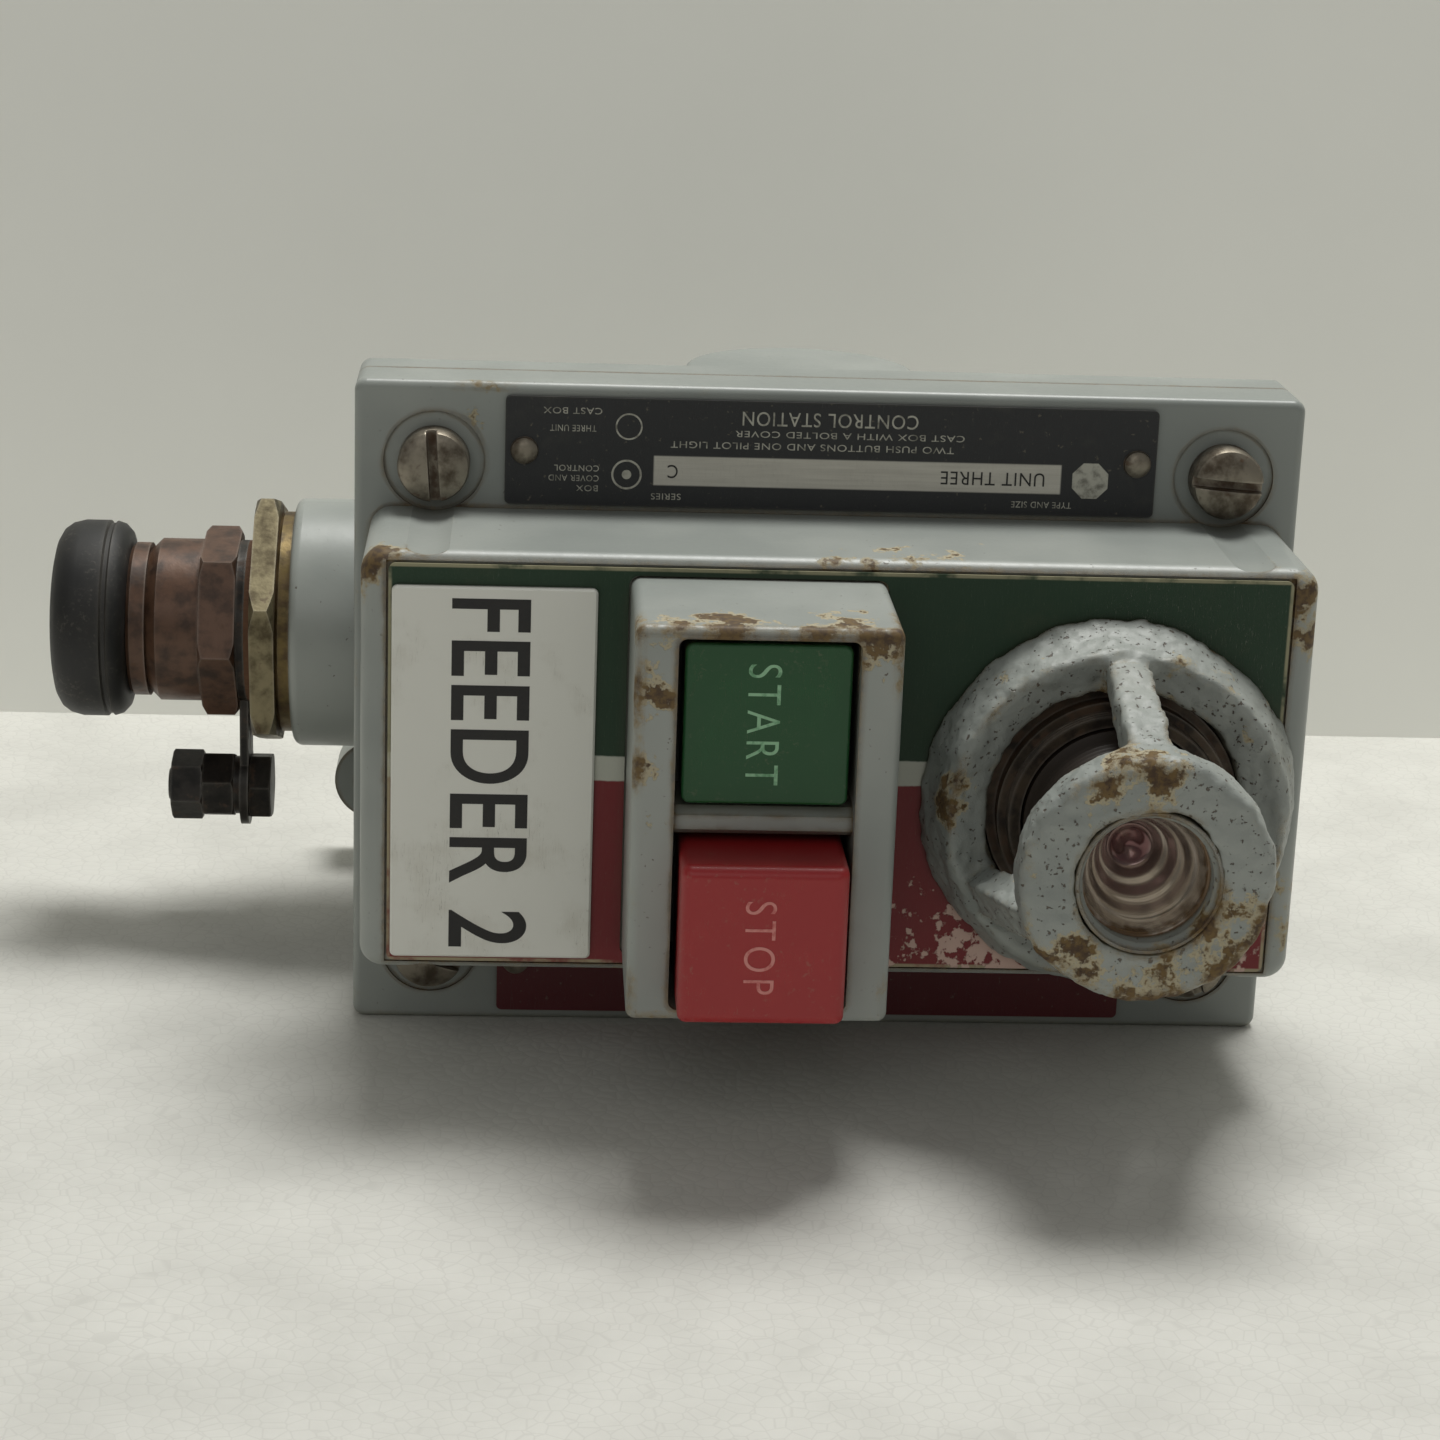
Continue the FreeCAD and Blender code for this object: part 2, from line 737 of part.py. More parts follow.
def make_block_housing(name):
    z = button_z[name]
    half_w = block_width / 2
    inner_half = half_w - block_wall
    rear = block_plate_y
    body = block(bezel_x - half_w, bezel_x + half_w, block_front_y, rear,
                 z - block_height / 2, z + block_height / 2)
    ledges = block(bezel_x - half_w - ledge_reach, bezel_x + half_w + ledge_reach,
                   block_front_y, strip_y, z - block_cavity_half, z + block_cavity_half)
    body = body.fuse(ledges)
    cavity = block(bezel_x - inner_half, bezel_x + inner_half, block_front_y + block_front_t, rear,
                   z - block_cavity_half, z + block_cavity_half)
    stem_half = carrier_stem_half + loose_clear
    stem_hole = block(bezel_x - stem_half, bezel_x + stem_half, block_front_y, rear,
                      z - stem_half, z + stem_half)
    strip_half = strip_width / 2 + slide_clear
    slot = block(bezel_x - half_w, bezel_x + half_w, strip_y, rear, z - strip_half, z + strip_half)
    cuts = [cavity, stem_hole, slot]
    for side in SIDES:
        screw_x = bezel_x + side * (half_w + ledge_reach / 2)
        depth = terminal_screw_length + screw_hole_spare
        cuts.append(rod("Y", V(screw_x, strip_y - depth, z), terminal_screw_r + thread_clear, depth))
        corner = V(bezel_x + side * block_screw_x, block_front_y, z + side * block_screw_z)
        cuts.append(rod("Y", corner, block_screw_r + loose_clear, rear - block_front_y))
    return body.cut(group(cuts)).removeSplitter()


def make_block_back(name):
    z = button_z[name]
    plate = slab(bezel_x, block_width, block_plate_y, block_rear_y, z, block_height, block_back_corner_r)
    for side in SIDES:
        corner = V(bezel_x + side * block_screw_x, block_plate_y, z + side * block_screw_z)
        plate = plate.cut(rod("Y", corner, block_screw_r + loose_clear, block_back_t))
    return plate


def make_fixed_contacts(name):
    """Two strips; their tips face the bridge, which is in front (start) or behind (stop)."""
    z = button_z[name]
    strips = []
    for side in SIDES:
        inner = bezel_x + side * strip_gap_half
        outer = bezel_x + side * (block_width / 2 + ledge_reach)
        strip = block(min(inner, outer), max(inner, outer), strip_y, strip_y + strip_t,
                      z - strip_width / 2, z + strip_width / 2)
        tip_y = strip_y - tip_t if name == "start" else strip_y + strip_t
        strip = strip.fuse(rod("Y", V(bezel_x + side * tip_x, tip_y, z), tip_r, tip_t))
        screw_x = bezel_x + side * (block_width / 2 + ledge_reach / 2)
        strips.append(strip.cut(rod("Y", V(screw_x, strip_y, z), terminal_screw_r + loose_clear, strip_t)))
    return group(strips)


def make_carrier(name):
    z = button_z[name]
    stem_y = block_front_y - carrier_stand_off
    half = carrier_half
    stem_half = carrier_stem_half
    body = block(bezel_x - half, bezel_x + half, carrier_shoulder_y, carrier_rear_y, z - half, z + half)
    stem = block(bezel_x - stem_half, bezel_x + stem_half, stem_y, carrier_shoulder_y,
                 z - stem_half, z + stem_half)
    bridge_front = bridge_y[name]
    slot_half = bridge_width / 2 + slide_clear
    slot = block(bezel_x - half, bezel_x + half, bridge_front - slide_clear,
                 bridge_front + bridge_t + slide_clear, z - slot_half, z + slot_half)
    return body.fuse(stem).cut(slot).removeSplitter()


def make_bridge(name):
    z = button_z[name]
    y = bridge_y[name]
    return slab(bezel_x, 2 * bridge_half, y, y + bridge_t, z, bridge_width, bridge_corner_r)


def make_contact_spring(name):
    start_y = carrier_rear_y + slide_clear
    end_y = block_plate_y - slide_clear
    start = V(bezel_x, start_y, button_z[name])
    return coil(start, contact_spring_r, contact_wire_r, end_y - start_y, contact_turns)


def make_block_screws():
    screws = []
    for x, z in block_screw_places():
        front = V(x, block_rear_y + block_screw_head_h, z)
        screws.append(slotted_screw(front, block_screw_head_r, block_screw_head_h, block_screw_r,
                                    block_depth + block_screw_bite, 0.8, 50, 0.4, -1))
    return group(screws)


# ---- Pilot light --------------------------------------------------------------------

def pilot_point(height):
    """A point on the pilot light's axis, at a height in front of the chamber's face."""
    return V(pilot_x, face_y - height, pilot_z)


def lathe_front(profile):
    """A turned piece on the pilot light's axis, from (radius, height above the face)."""
    return turned("Y", pilot_point(0), [(r, -h) for r, h in profile])


def make_guard_arm(angle):
    """A slanting bar from inside the base ring's rim to inside the front disc."""
    foot_r = guard_rim_r - 1.0
    top_r = guard_disc_r - 0.5
    foot_h = guard_rim_h - 4.0
    knee_h = guard_rim_h + 1.5
    neck_h = guard_front_h - guard_disc_t
    top_h = guard_front_h - 3.0
    outline = [(foot_r, foot_h), (foot_r, knee_h), (top_r + 1.2, neck_h), (top_r, top_h),
               (top_r - guard_arm_t, top_h), (top_r - guard_arm_t + 0.6, neck_h),
               (foot_r - guard_arm_t, knee_h), (foot_r - guard_arm_t, foot_h)]
    points = [V(r, -h, -guard_arm_width / 2) for r, h in outline]
    points.append(points[0])
    arm = Part.Face(Part.makePolygon(points)).extrude(V(0, 0, guard_arm_width))
    arm.rotate(V(0, 0, 0), AXES["Y"], -angle)
    arm.translate(pilot_point(0))
    return arm


def make_pilot_guard():
    base = lathe_front([
        (guard_bore_r, 0), (guard_base_r, 0), (guard_base_r - 0.2, 1.2),
        (guard_rim_r + 0.5, guard_rim_h - 0.8), (guard_rim_r - 0.4, guard_rim_h),
        (guard_bore_r, guard_rim_h - guard_dish),
    ])
    disc_back = guard_front_h - guard_disc_t
    disc = lathe_front([
        (0, disc_back), (guard_disc_r - 0.6, disc_back), (guard_disc_r, disc_back + 0.6),
        (guard_disc_r, guard_front_h - 1.5), (guard_disc_r - 0.5, guard_front_h - 0.5),
        (guard_disc_r - 1.5, guard_front_h), (0, guard_front_h),
    ])
    guard = fused([base, disc] + [make_guard_arm(angle) for angle in guard_arm_angles])
    nose_bore = rod("Y", pilot_point(guard_front_h - lens_ring_t), lens_nose_r + lens_clear, guard_disc_t)
    ring_bore = rod("Y", pilot_point(guard_front_h), lens_ring_r, lens_ring_t)
    return guard.cut(nose_bore).cut(ring_bore).removeSplitter()


def make_lens_ring():
    top = guard_front_h
    seat = guard_front_h - lens_ring_t
    ring_r = lens_ring_r - slide_clear
    return lathe_front([
        (ring_r, seat), (ring_r, top - 0.1), (ring_r - 0.1, top), (window_r + lens_ring_bevel, top),
        (window_r, top - lens_ring_bevel * 2), (window_r, seat),
    ])


def make_pilot_lens():
    nose = guard_front_h - lens_ring_t - drop_in
    flange_r = holder_bore_r - drop_in
    outline = [(lamp_room_r, lens_flange_h), (flange_r, lens_flange_h), (flange_r, holder_lip_h),
               (lens_r, holder_lip_h), (lens_r, lens_neck_h), (lens_neck_r, lens_neck_h + 1),
               (lens_neck_r, lens_nose_h), (lens_nose_r, lens_nose_h + 1), (lens_nose_r, nose)]
    for r, depth in lens_bowl:
        outline += [(r, nose - depth + bowl_riser), (r - bowl_tread, nose - depth)]
    outline += [(0, nose - lens_bowl[-1][1] - 0.4)]
    lamp_room_h = lens_neck_h - 2.5
    outline += [(0, lamp_room_h), (lamp_room_r - 1.5, lamp_room_h), (lamp_room_r, lamp_room_h - 2)]
    return lathe_front(outline)


def make_pilot_holder():
    shoulder_h = locknut_h - 1.0
    tail_h = -holder_rear
    outline = [(holder_lip_r, holder_steps[-1][1])]
    for r, h in reversed(holder_steps):
        outline += [(r, h)]
        if r != holder_r:
            outline += [(r, h - holder_step_t)]
    outline += [(holder_r, shoulder_h), (holder_rear_r, shoulder_h), (holder_rear_r, tail_h),
                (holder_bore_r, tail_h), (holder_bore_r, holder_lip_h), (holder_lip_r, holder_lip_h)]
    return lathe_front(outline)


def make_lens_gasket():
    r_out = holder_bore_r - drop_in
    r_in = lamp_room_r + 1
    return lathe_front([(r_out, lens_flange_h), (r_out, gasket_h), (r_in, gasket_h), (r_in, lens_flange_h)])


def make_lens_clamp_ring():
    r_out = holder_bore_r - thread_clear
    r_in = socket_r + loose_clear
    rear = gasket_h - clamp_ring_t
    return lathe_front([(r_out, gasket_h), (r_out, rear), (r_in, rear), (r_in, gasket_h)])


def make_pilot_locknut():
    front = -chamber_front_t
    rear = locknut_h
    r_in = holder_r + thread_clear
    nut = lathe_front([(locknut_r, front), (locknut_r, rear + locknut_chamfer),
                       (locknut_r - locknut_chamfer, rear), (r_in, rear), (r_in, front)])
    for turn in range(0, 360, 45):
        notch = block(locknut_r - locknut_notch, locknut_r + 1, -rear - locknut_notch_depth, -rear + 1,
                      -locknut_notch, locknut_notch)
        notch.rotate(V(0, 0, 0), AXES["Y"], turn)
        notch.translate(pilot_point(0))
        nut = nut.cut(notch)
    return nut


def make_lamp():
    tail = socket_h - lamp_base_length
    top = tail + lamp_length
    shoulder = tail + lamp_base_length + 1.0
    return lathe_front([
        (0, tail), (lamp_base_r * 0.5, tail), (lamp_base_r, tail + 1.2), (lamp_base_r, shoulder),
        (lamp_r, shoulder + 1.5), (lamp_r, top - 3.5), (lamp_r * 0.75, top - 1.1), (0, top),
    ])


def make_lamp_socket():
    front = socket_h
    bore = lamp_base_r + drop_in
    bottom = front - lamp_base_length - 1.0
    return lathe_front([
        (bore, front), (socket_r - 1, front), (socket_r, front - 1), (socket_r, transformer_h),
        (0, transformer_h), (0, bottom), (bore, bottom),
    ])


def make_pilot_transformer():
    front = transformer_h
    body = slab(pilot_x, transformer_width, face_y - front, transformer_rear_y, pilot_z,
                transformer_height, transformer_corner_r)
    inner = holder_rear_r + thread_clear
    outer = inner + collar_wall
    lip = front + collar_length - 1.0
    collar = lathe_front([(outer, lip), (outer, front - 0.5), (inner, front - 0.5), (inner, lip)])
    body = body.fuse(collar)
    for side in SIDES:
        depth = terminal_screw_length + screw_hole_spare
        start = V(pilot_x + side * transformer_width / 4, transformer_rear_y - depth, pilot_z)
        body = body.cut(rod("Y", start, terminal_screw_r + thread_clear, depth))
    return body.removeSplitter()


def make_pilot_terminals():
    strips = []
    for side in SIDES:
        x = pilot_x + side * transformer_width / 4
        y = transformer_rear_y
        strip = slab(x, strip_width, y, y + strip_t, pilot_z, strip_width * 2, bridge_corner_r)
        strips.append(strip.cut(rod("Y", V(x, y, pilot_z), terminal_screw_r + loose_clear, strip_t)))
    return group(strips)


def make_terminal_screws():
    places = []
    for z in button_z.values():
        for side in SIDES:
            x = bezel_x + side * (block_width / 2 + ledge_reach / 2)
            places.append(V(x, strip_y + strip_t + terminal_screw_head_h, z))
    for side in SIDES:
        x = pilot_x + side * transformer_width / 4
        places.append(V(x, transformer_rear_y + strip_t + terminal_screw_head_h, pilot_z))
    return group([
        slotted_screw(place, terminal_screw_head_r, terminal_screw_head_h, terminal_screw_r,
                      terminal_screw_length, 0.7, 25, 0.4, -1)
        for place in places
    ])


# ---- Cable gland --------------------------------------------------------------------

def on_port(x):
    return V(x, port_y, 0)


def make_hub_collar():
    ring = rod("X", on_port(collar_x), collar_r, collar_t)
    ring = ring.makeChamfer(0.5, edges_on(ring, "X", collar_x))
    return ring.cut(rod("X", on_port(collar_x), hub_thread_r, collar_t))


def make_gland_adapter():
    thread_r = hub_thread_r - thread_clear
    head = hexagon("X", on_port(adapter_x), adapter_af, adapter_hex_t, adapter_turn)
    thread = rod("X", on_port(collar_x), thread_r, collar_t + hub_reach)
    thread = thread.makeChamfer(1.0, edges_on(thread, "X", collar_x + collar_t + hub_reach))
    spigot_room = gland_spigot - washer_t - tag_t
    bore = rod("X", on_port(adapter_x), adapter_bore_r, spigot_room)
    through = rod("X", on_port(adapter_x), cable_bore_r + 1, adapter_hex_t + collar_t + hub_reach)
    return head.fuse(thread).cut(bore).cut(through).removeSplitter()


def make_fibre_washer():
    return tube("X", on_port(washer_x), washer_r, adapter_bore_r + drop_in, washer_t)


def make_earth_tag():
    ring = rod("X", on_port(tag_x), washer_r, tag_t)
    bolt_at = on_port(tag_x) - V(0, 0, tag_bolt_drop)
    half = tag_tail_width / 2
    tail = block(tag_x, tag_x + tag_t, port_y - half, port_y + half, -tag_bolt_drop, 0)
    end = rod("X", bolt_at, tag_end_r, tag_t)
    tag = fused([ring, tail, end])
    tag = tag.cut(rod("X", on_port(tag_x), adapter_bore_r + drop_in, tag_t))
    return tag.cut(rod("X", bolt_at, tag_bolt_r + slide_clear, tag_t))


def make_gland_body():
    nut = hexagon("X", on_port(gland_hex_x), gland_af, gland_hex_t, gland_turn)
    barrel = rod("X", on_port(gland_end_x), gland_body_r, gland_body_length)
    barrel = barrel.makeChamfer(gland_chamfer, edges_on(barrel, "X", gland_end_x))
    spigot = rod("X", on_port(tag_x), adapter_bore_r - thread_clear, gland_spigot - 0.5)
    body = fused([nut, barrel, spigot])
    body = body.cut(rod("X", on_port(gland_end_x), seal_r + slide_clear, seal_length))
    whole = gland_body_length + gland_hex_t + gland_spigot
    return body.cut(rod("X", on_port(gland_end_x), cable_bore_r, whole))


def make_gland_seal():
    return tube("X", on_port(gland_end_x), seal_r, cable_bore_r, seal_length)


def make_gland_ring():
    ring = rod("X", on_port(ring_x), gland_ring_r, gland_ring_t)
    ring = ring.makeChamfer(gland_ring_chamfer, edges_on(ring, "X", ring_x))
    return ring.cut(rod("X", on_port(ring_x), cable_bore_r, gland_ring_t))


def make_blanking_plug():
    head = rod("X", on_port(plug_x), plug_head_r, plug_head_t - slide_clear)
    inner_x = plug_x + plug_head_t - slide_clear
    head = head.makeFillet(plug_edge_r, edges_on(head, "X", plug_x))
    head = head.makeFillet(plug_inner_edge_r, edges_on(head, "X", inner_x))
    stem = rod("X", on_port(inner_x - 1), cable_bore_r - slide_clear, plug_stem_length + 1)
    stem = stem.makeChamfer(1.0, edges_on(stem, "X", inner_x + plug_stem_length))
    return head.fuse(stem).removeSplitter()


def make_tag_bolt():
    centre = on_port(washer_x) - V(0, 0, tag_bolt_drop)
    head = hexagon("X", centre, tag_bolt_af, tag_bolt_head_t, tag_bolt_turn)
    length = tag_t + tag_washer_t + len(tag_nut_turns) * tag_nut_t + bolt_end
    shank = rod("X", centre - V(length, 0, 0), tag_bolt_r, length)
    shank = shank.makeChamfer(0.5, edges_on(shank, "X", centre.x - length))
    return head.fuse(shank).removeSplitter()


def make_tag_washer():
    centre = on_port(tag_x - tag_washer_t) - V(0, 0, tag_bolt_drop)
    ring = tube("X", centre, tag_washer_r, tag_bolt_r + drop_in, tag_washer_t)
    split = block(centre.x, centre.x + tag_washer_t, port_y, port_y + tag_washer_r + 1,
                  centre.z - tag_washer_split / 2, centre.z + tag_washer_split / 2)
    return ring.cut(split)


def make_tag_nuts():
    nuts = []
    for k, turn in enumerate(tag_nut_turns):
        x = tag_x - tag_washer_t - (k + 1) * tag_nut_t
        centre = on_port(x) - V(0, 0, tag_bolt_drop)
        nut = hexagon("X", centre, tag_bolt_af, tag_nut_t, turn)
        nuts.append(nut.cut(rod("X", centre, tag_bolt_r + thread_clear, tag_nut_t)))
    return group(nuts)


def make_ground_screw():
    front = V(ground_x, -box_wall - ground_boss_h - ground_head_h, ground_z)
    return slotted_screw(front, ground_head_r, ground_head_h, ground_screw_r,
                         ground_screw_length, 1.2, 30, 0.4, 1)


# ---- Every node, and its file -------------------------------------------------------

nodes = {
    "back_box": make_back_box(),
    "cover": make_cover(),
    "cover_screws": make_cover_screws(),
    "legend_plate": make_legend_plate(),
    "name_label": make_name_label(),
    "upper_nameplate": make_nameplate(1),
    "lower_nameplate": make_nameplate(-1),
    "plate_rivets": make_plate_rivets(),
    "button_bezel": make_button_bezel(),
    "bezel_screws": make_bezel_screws(),
    "block_screws": make_block_screws(),
    "terminal_screws": make_terminal_screws(),
    "pilot_guard": make_pilot_guard(),
    "lens_ring": make_lens_ring(),
    "pilot_lens": make_pilot_lens(),
    "pilot_holder": make_pilot_holder(),
    "lens_gasket": make_lens_gasket(),
    "lens_clamp_ring": make_lens_clamp_ring(),
    "pilot_locknut": make_pilot_locknut(),
    "pilot_lamp": make_lamp(),
    "lamp_socket": make_lamp_socket(),
    "pilot_transformer": make_pilot_transformer(),
    "pilot_terminals": make_pilot_terminals(),
    "hub_collar": make_hub_collar(),
    "gland_adapter": make_gland_adapter(),
    "fibre_washer": make_fibre_washer(),
    "earth_tag": make_earth_tag(),
    "gland_body": make_gland_body(),
    "gland_seal": make_gland_seal(),
    "gland_ring": make_gland_ring(),
    "blanking_plug": make_blanking_plug(),
    "tag_bolt": make_tag_bolt(),
    "tag_washer": make_tag_washer(),
    "tag_nuts": make_tag_nuts(),
    "ground_screw": make_ground_screw(),
}

for name in ("start", "stop"):
    nodes[name + "_button"] = make_button(name)
    nodes[name + "_plunger"] = make_plunger(name)
    nodes[name + "_clip"] = make_clip(name)
    nodes[name + "_bushing"] = make_bushing(name)
    nodes[name + "_return_spring"] = make_return_spring(name)
    nodes[name + "_block_housing"] = make_block_housing(name)
    nodes[name + "_block_back"] = make_block_back(name)
    nodes[name + "_fixed_contacts"] = make_fixed_contacts(name)
    nodes[name + "_carrier"] = make_carrier(name)
    nodes[name + "_bridge"] = make_bridge(name)
    nodes[name + "_contact_spring"] = make_contact_spring(name)

os.makedirs("parts", exist_ok=True)
for name, shape in nodes.items():
    shape.exportStep("parts/" + name + ".step")
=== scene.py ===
# %% [markdown]
# # A cast push-button control station
# The real object is a heavy cast box for a dusty or gassy place. A flanged cover carries a
# coloured legend plate, a square bezel with two push buttons, and a pilot light behind a cast
# guard. A plugged cable gland sticks out of one end. The machine-made parts already exist as a
# measured CAD model, which is loaded here as a fixed frame. This lesson adds what the CAD model
# lacks: cast lumps, lettering, slotted heads, coiled springs, and paint that has had a hard life.
#
# Everything is in metres. X runs along the box away from the gland, Y goes into the box from the
# front, and Z is up. The box stands on one long edge.

# %% Load the frame
import math
import bmesh
import bpy
from mathutils import Matrix, Vector


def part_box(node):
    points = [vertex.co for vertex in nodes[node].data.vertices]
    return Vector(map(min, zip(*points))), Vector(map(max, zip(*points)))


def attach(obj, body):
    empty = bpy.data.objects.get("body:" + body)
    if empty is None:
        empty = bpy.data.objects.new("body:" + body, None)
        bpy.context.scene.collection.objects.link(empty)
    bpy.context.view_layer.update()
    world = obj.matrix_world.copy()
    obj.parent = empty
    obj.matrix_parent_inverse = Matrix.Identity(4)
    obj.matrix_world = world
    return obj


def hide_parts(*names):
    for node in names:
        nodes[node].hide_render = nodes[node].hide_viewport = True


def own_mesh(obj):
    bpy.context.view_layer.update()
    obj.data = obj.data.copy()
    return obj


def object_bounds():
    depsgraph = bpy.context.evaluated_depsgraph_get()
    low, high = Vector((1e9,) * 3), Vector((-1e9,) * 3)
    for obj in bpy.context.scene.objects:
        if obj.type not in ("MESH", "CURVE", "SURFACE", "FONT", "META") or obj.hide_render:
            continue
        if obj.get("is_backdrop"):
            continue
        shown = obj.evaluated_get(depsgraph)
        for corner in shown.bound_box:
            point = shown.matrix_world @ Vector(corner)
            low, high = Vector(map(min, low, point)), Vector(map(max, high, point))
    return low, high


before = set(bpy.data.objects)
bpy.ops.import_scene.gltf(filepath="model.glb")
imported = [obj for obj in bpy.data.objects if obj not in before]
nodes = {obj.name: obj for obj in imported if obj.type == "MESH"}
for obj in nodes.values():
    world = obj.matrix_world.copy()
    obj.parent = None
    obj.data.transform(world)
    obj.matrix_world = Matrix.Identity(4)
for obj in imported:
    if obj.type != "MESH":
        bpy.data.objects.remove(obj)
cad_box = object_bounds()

MM = 0.001
scene = bpy.context.scene
size_mm = (cad_box[1] - cad_box[0]) / MM
print("CAD nodes:", len(nodes), " size in mm:", [round(v, 1) for v in size_mm])

# %% [markdown]
# ## Camera
# The eye stands a little left of the middle, above the box, and looks slightly down at it. A long
# lens keeps the square edges nearly parallel. The camera could be aimed with a Track To
# constraint, but a matrix built from three angles is exact, adds nothing to the scene that moves
# later, and allows a small roll.

# %% Place the camera
EYE = Vector((-0.04405, -0.56287, 0.14316))
AZIMUTH = math.radians(-3.43)
ELEVATION = math.radians(16.66)
ROLL = math.radians(2.05)
LENS_MM = 83.0
SENSOR_MM = 36.0
NEAREST = 10 * MM

backward = Vector((math.sin(AZIMUTH) * math.cos(ELEVATION),
                   -math.cos(AZIMUTH) * math.cos(ELEVATION), math.sin(ELEVATION)))
level = (-backward).cross(Vector((0, 0, 1))).normalized()
upright = level.cross(-backward)
right = level * math.cos(ROLL) + upright * math.sin(ROLL)
up = upright * math.cos(ROLL) - level * math.sin(ROLL)
camera_data = bpy.data.cameras.new("camera")
camera_data.lens = LENS_MM
camera_data.sensor_width = SENSOR_MM
camera_data.clip_start = NEAREST
camera = bpy.data.objects.new("camera", camera_data)
turned = Matrix((right, up, backward)).transposed().to_4x4()
camera.matrix_world = Matrix.Translation(EYE) @ turned
scene.collection.objects.link(camera)
scene.camera = camera
print("camera at", [round(v, 3) for v in EYE], "with a", LENS_MM, "mm lens")

# %% [markdown]
# ## Measuring the frame
# Nothing is placed by eye: each new piece takes its place from the CAD node that it stands for.
# A CAD node is loose triangles, so a copy is merged before its separate lumps can be told apart.
# Walking from face to face then gives one box for each screw or rivet.

# %% Helpers that measure
SAME_POINT = 0.002 * MM


def merged_copy(node_name):
    """A CAD node's shape with its doubled corners joined, as a bmesh."""
    shape = bmesh.new()
    shape.from_mesh(nodes[node_name].data)
    bmesh.ops.remove_doubles(shape, verts=shape.verts, dist=SAME_POINT)
    return shape


def separate_boxes(node_name):
    """The lowest and highest corner of each separate lump of a CAD node, sorted by place."""
    shape = merged_copy(node_name)
    unseen = set(shape.verts)
    found = []
    while unseen:
        queue = [unseen.pop()]
        low = queue[0].co.copy()
        high = queue[0].co.copy()
        while queue:
            corner = queue.pop()
            low = Vector(map(min, low, corner.co))
            high = Vector(map(max, high, corner.co))
            for edge in corner.link_edges:
                other = edge.other_vert(corner)
                if other in unseen:
                    unseen.remove(other)
                    queue.append(other)
        found.append((low, high))
    shape.free()
    return sorted(found, key=lambda pair: (round(pair[0].x, 4), round(pair[0].z, 4)))


def middle(low_high):
    return (low_high[0] + low_high[1]) / 2


cover_screw_boxes = separate_boxes("cover_screws")
rivet_boxes = separate_boxes("plate_rivets")
print(len(cover_screw_boxes), "cover screws,", len(rivet_boxes), "rivets")

# %% [markdown]
# ## Making a finished piece
# Each new mesh becomes an object that sits at the origin with its place in its mesh, as the CAD
# nodes do, rides on one body of the model, and hides the CAD nodes it stands for. Smooth shading
# is set by angle, so a turned face looks round and a machined edge stays crisp.

# %% Helpers that finish a piece
CRISP_ANGLE = math.radians(32)


def shade(mesh, angle=CRISP_ANGLE):
    mesh.polygons.foreach_set("use_smooth", [True] * len(mesh.polygons))
    mesh.set_sharp_from_angle(angle=angle)


def finished(mesh, name, body, slot, *stands_for):
    mesh.name = name
    piece = bpy.data.objects.new(name, mesh)
    scene.collection.objects.link(piece)
    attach(piece, body)
    if stands_for:
        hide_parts(*stands_for)
    print(name, "rides on", body, "with", len(mesh.polygons), "faces")
    return piece


def evaluated_mesh(thing):
    """The mesh of an object with its modifiers done; the object itself is then thrown away."""
    bpy.context.view_layer.update()
    graph = bpy.context.evaluated_depsgraph_get()
    mesh = bpy.data.meshes.new_from_object(thing.evaluated_get(graph))
    bpy.data.objects.remove(thing)
    return mesh


def mesh_from(shape, name):
    mesh = bpy.data.meshes.new(name)
    shape.to_mesh(mesh)
    shape.free()
    return mesh


print("edges sharper than", round(math.degrees(CRISP_ANGLE)), "degrees stay crisp")

# %% [markdown]
# ## Turning on a lathe
# The lens, its holder, the plug and the screw heads are all turned parts, so one helper spins a
# short list of radii and distances about an axis. The Spin operator could do it, but laying the
# rings by hand gives closed poles, and Recalculate Normals then makes every face look outwards.

# %% The lathe
ON_AXIS = 0.001 * MM
AXIS_FRAMES = {
    "-Y": (Vector((0, -1, 0)), Vector((1, 0, 0)), Vector((0, 0, 1))),
    "+X": (Vector((1, 0, 0)), Vector((0, 1, 0)), Vector((0, 0, 1))),
}


def lathe(name, centre, axis, outline, sides=96):
    """Spins (radius, distance) points about an axis. An outline is a loop or ends on the axis."""
    along, across, third = AXIS_FRAMES[axis]
    shape = bmesh.new()
    rings = []
    for radius, distance in outline:
        heart = centre + along * distance
        if radius < ON_AXIS:
            rings.append([shape.verts.new(heart)])
            continue
        ring = []
        for k in range(sides):
            turn = 2 * math.pi * k / sides
            sideways = across * math.cos(turn) + third * math.sin(turn)
            ring.append(shape.verts.new(heart + sideways * radius))
        rings.append(ring)
    pairs = list(zip(rings, rings[1:]))
    if len(rings[0]) > 1 and len(rings[-1]) > 1:
        pairs.append((rings[-1], rings[0]))
    for near, far in pairs:
        for k in range(sides):
            corners = [near[k % len(near)], near[(k + 1) % len(near)],
                       far[(k + 1) % len(far)], far[k % len(far)]]
            corners = list(dict.fromkeys(corners))
            if len(corners) > 2:
                shape.faces.new(corners)
    bmesh.ops.recalc_face_normals(shape, faces=shape.faces)
    mesh = mesh_from(shape, name)
    shade(mesh)
    return mesh


def eased(outline, steps=5):
    """The same outline with each run between two points bent into a soft S."""
    points = [outline[0]]
    for (r0, d0), (r1, d1) in zip(outline, outline[1:]):
        for k in range(1, steps + 1):
            t = k / steps
            points.append((r0 + (r1 - r0) * t, d0 + (d1 - d0) * t * t * (3 - 2 * t)))
    return points


print("the lathe turns about", sorted(AXIS_FRAMES))

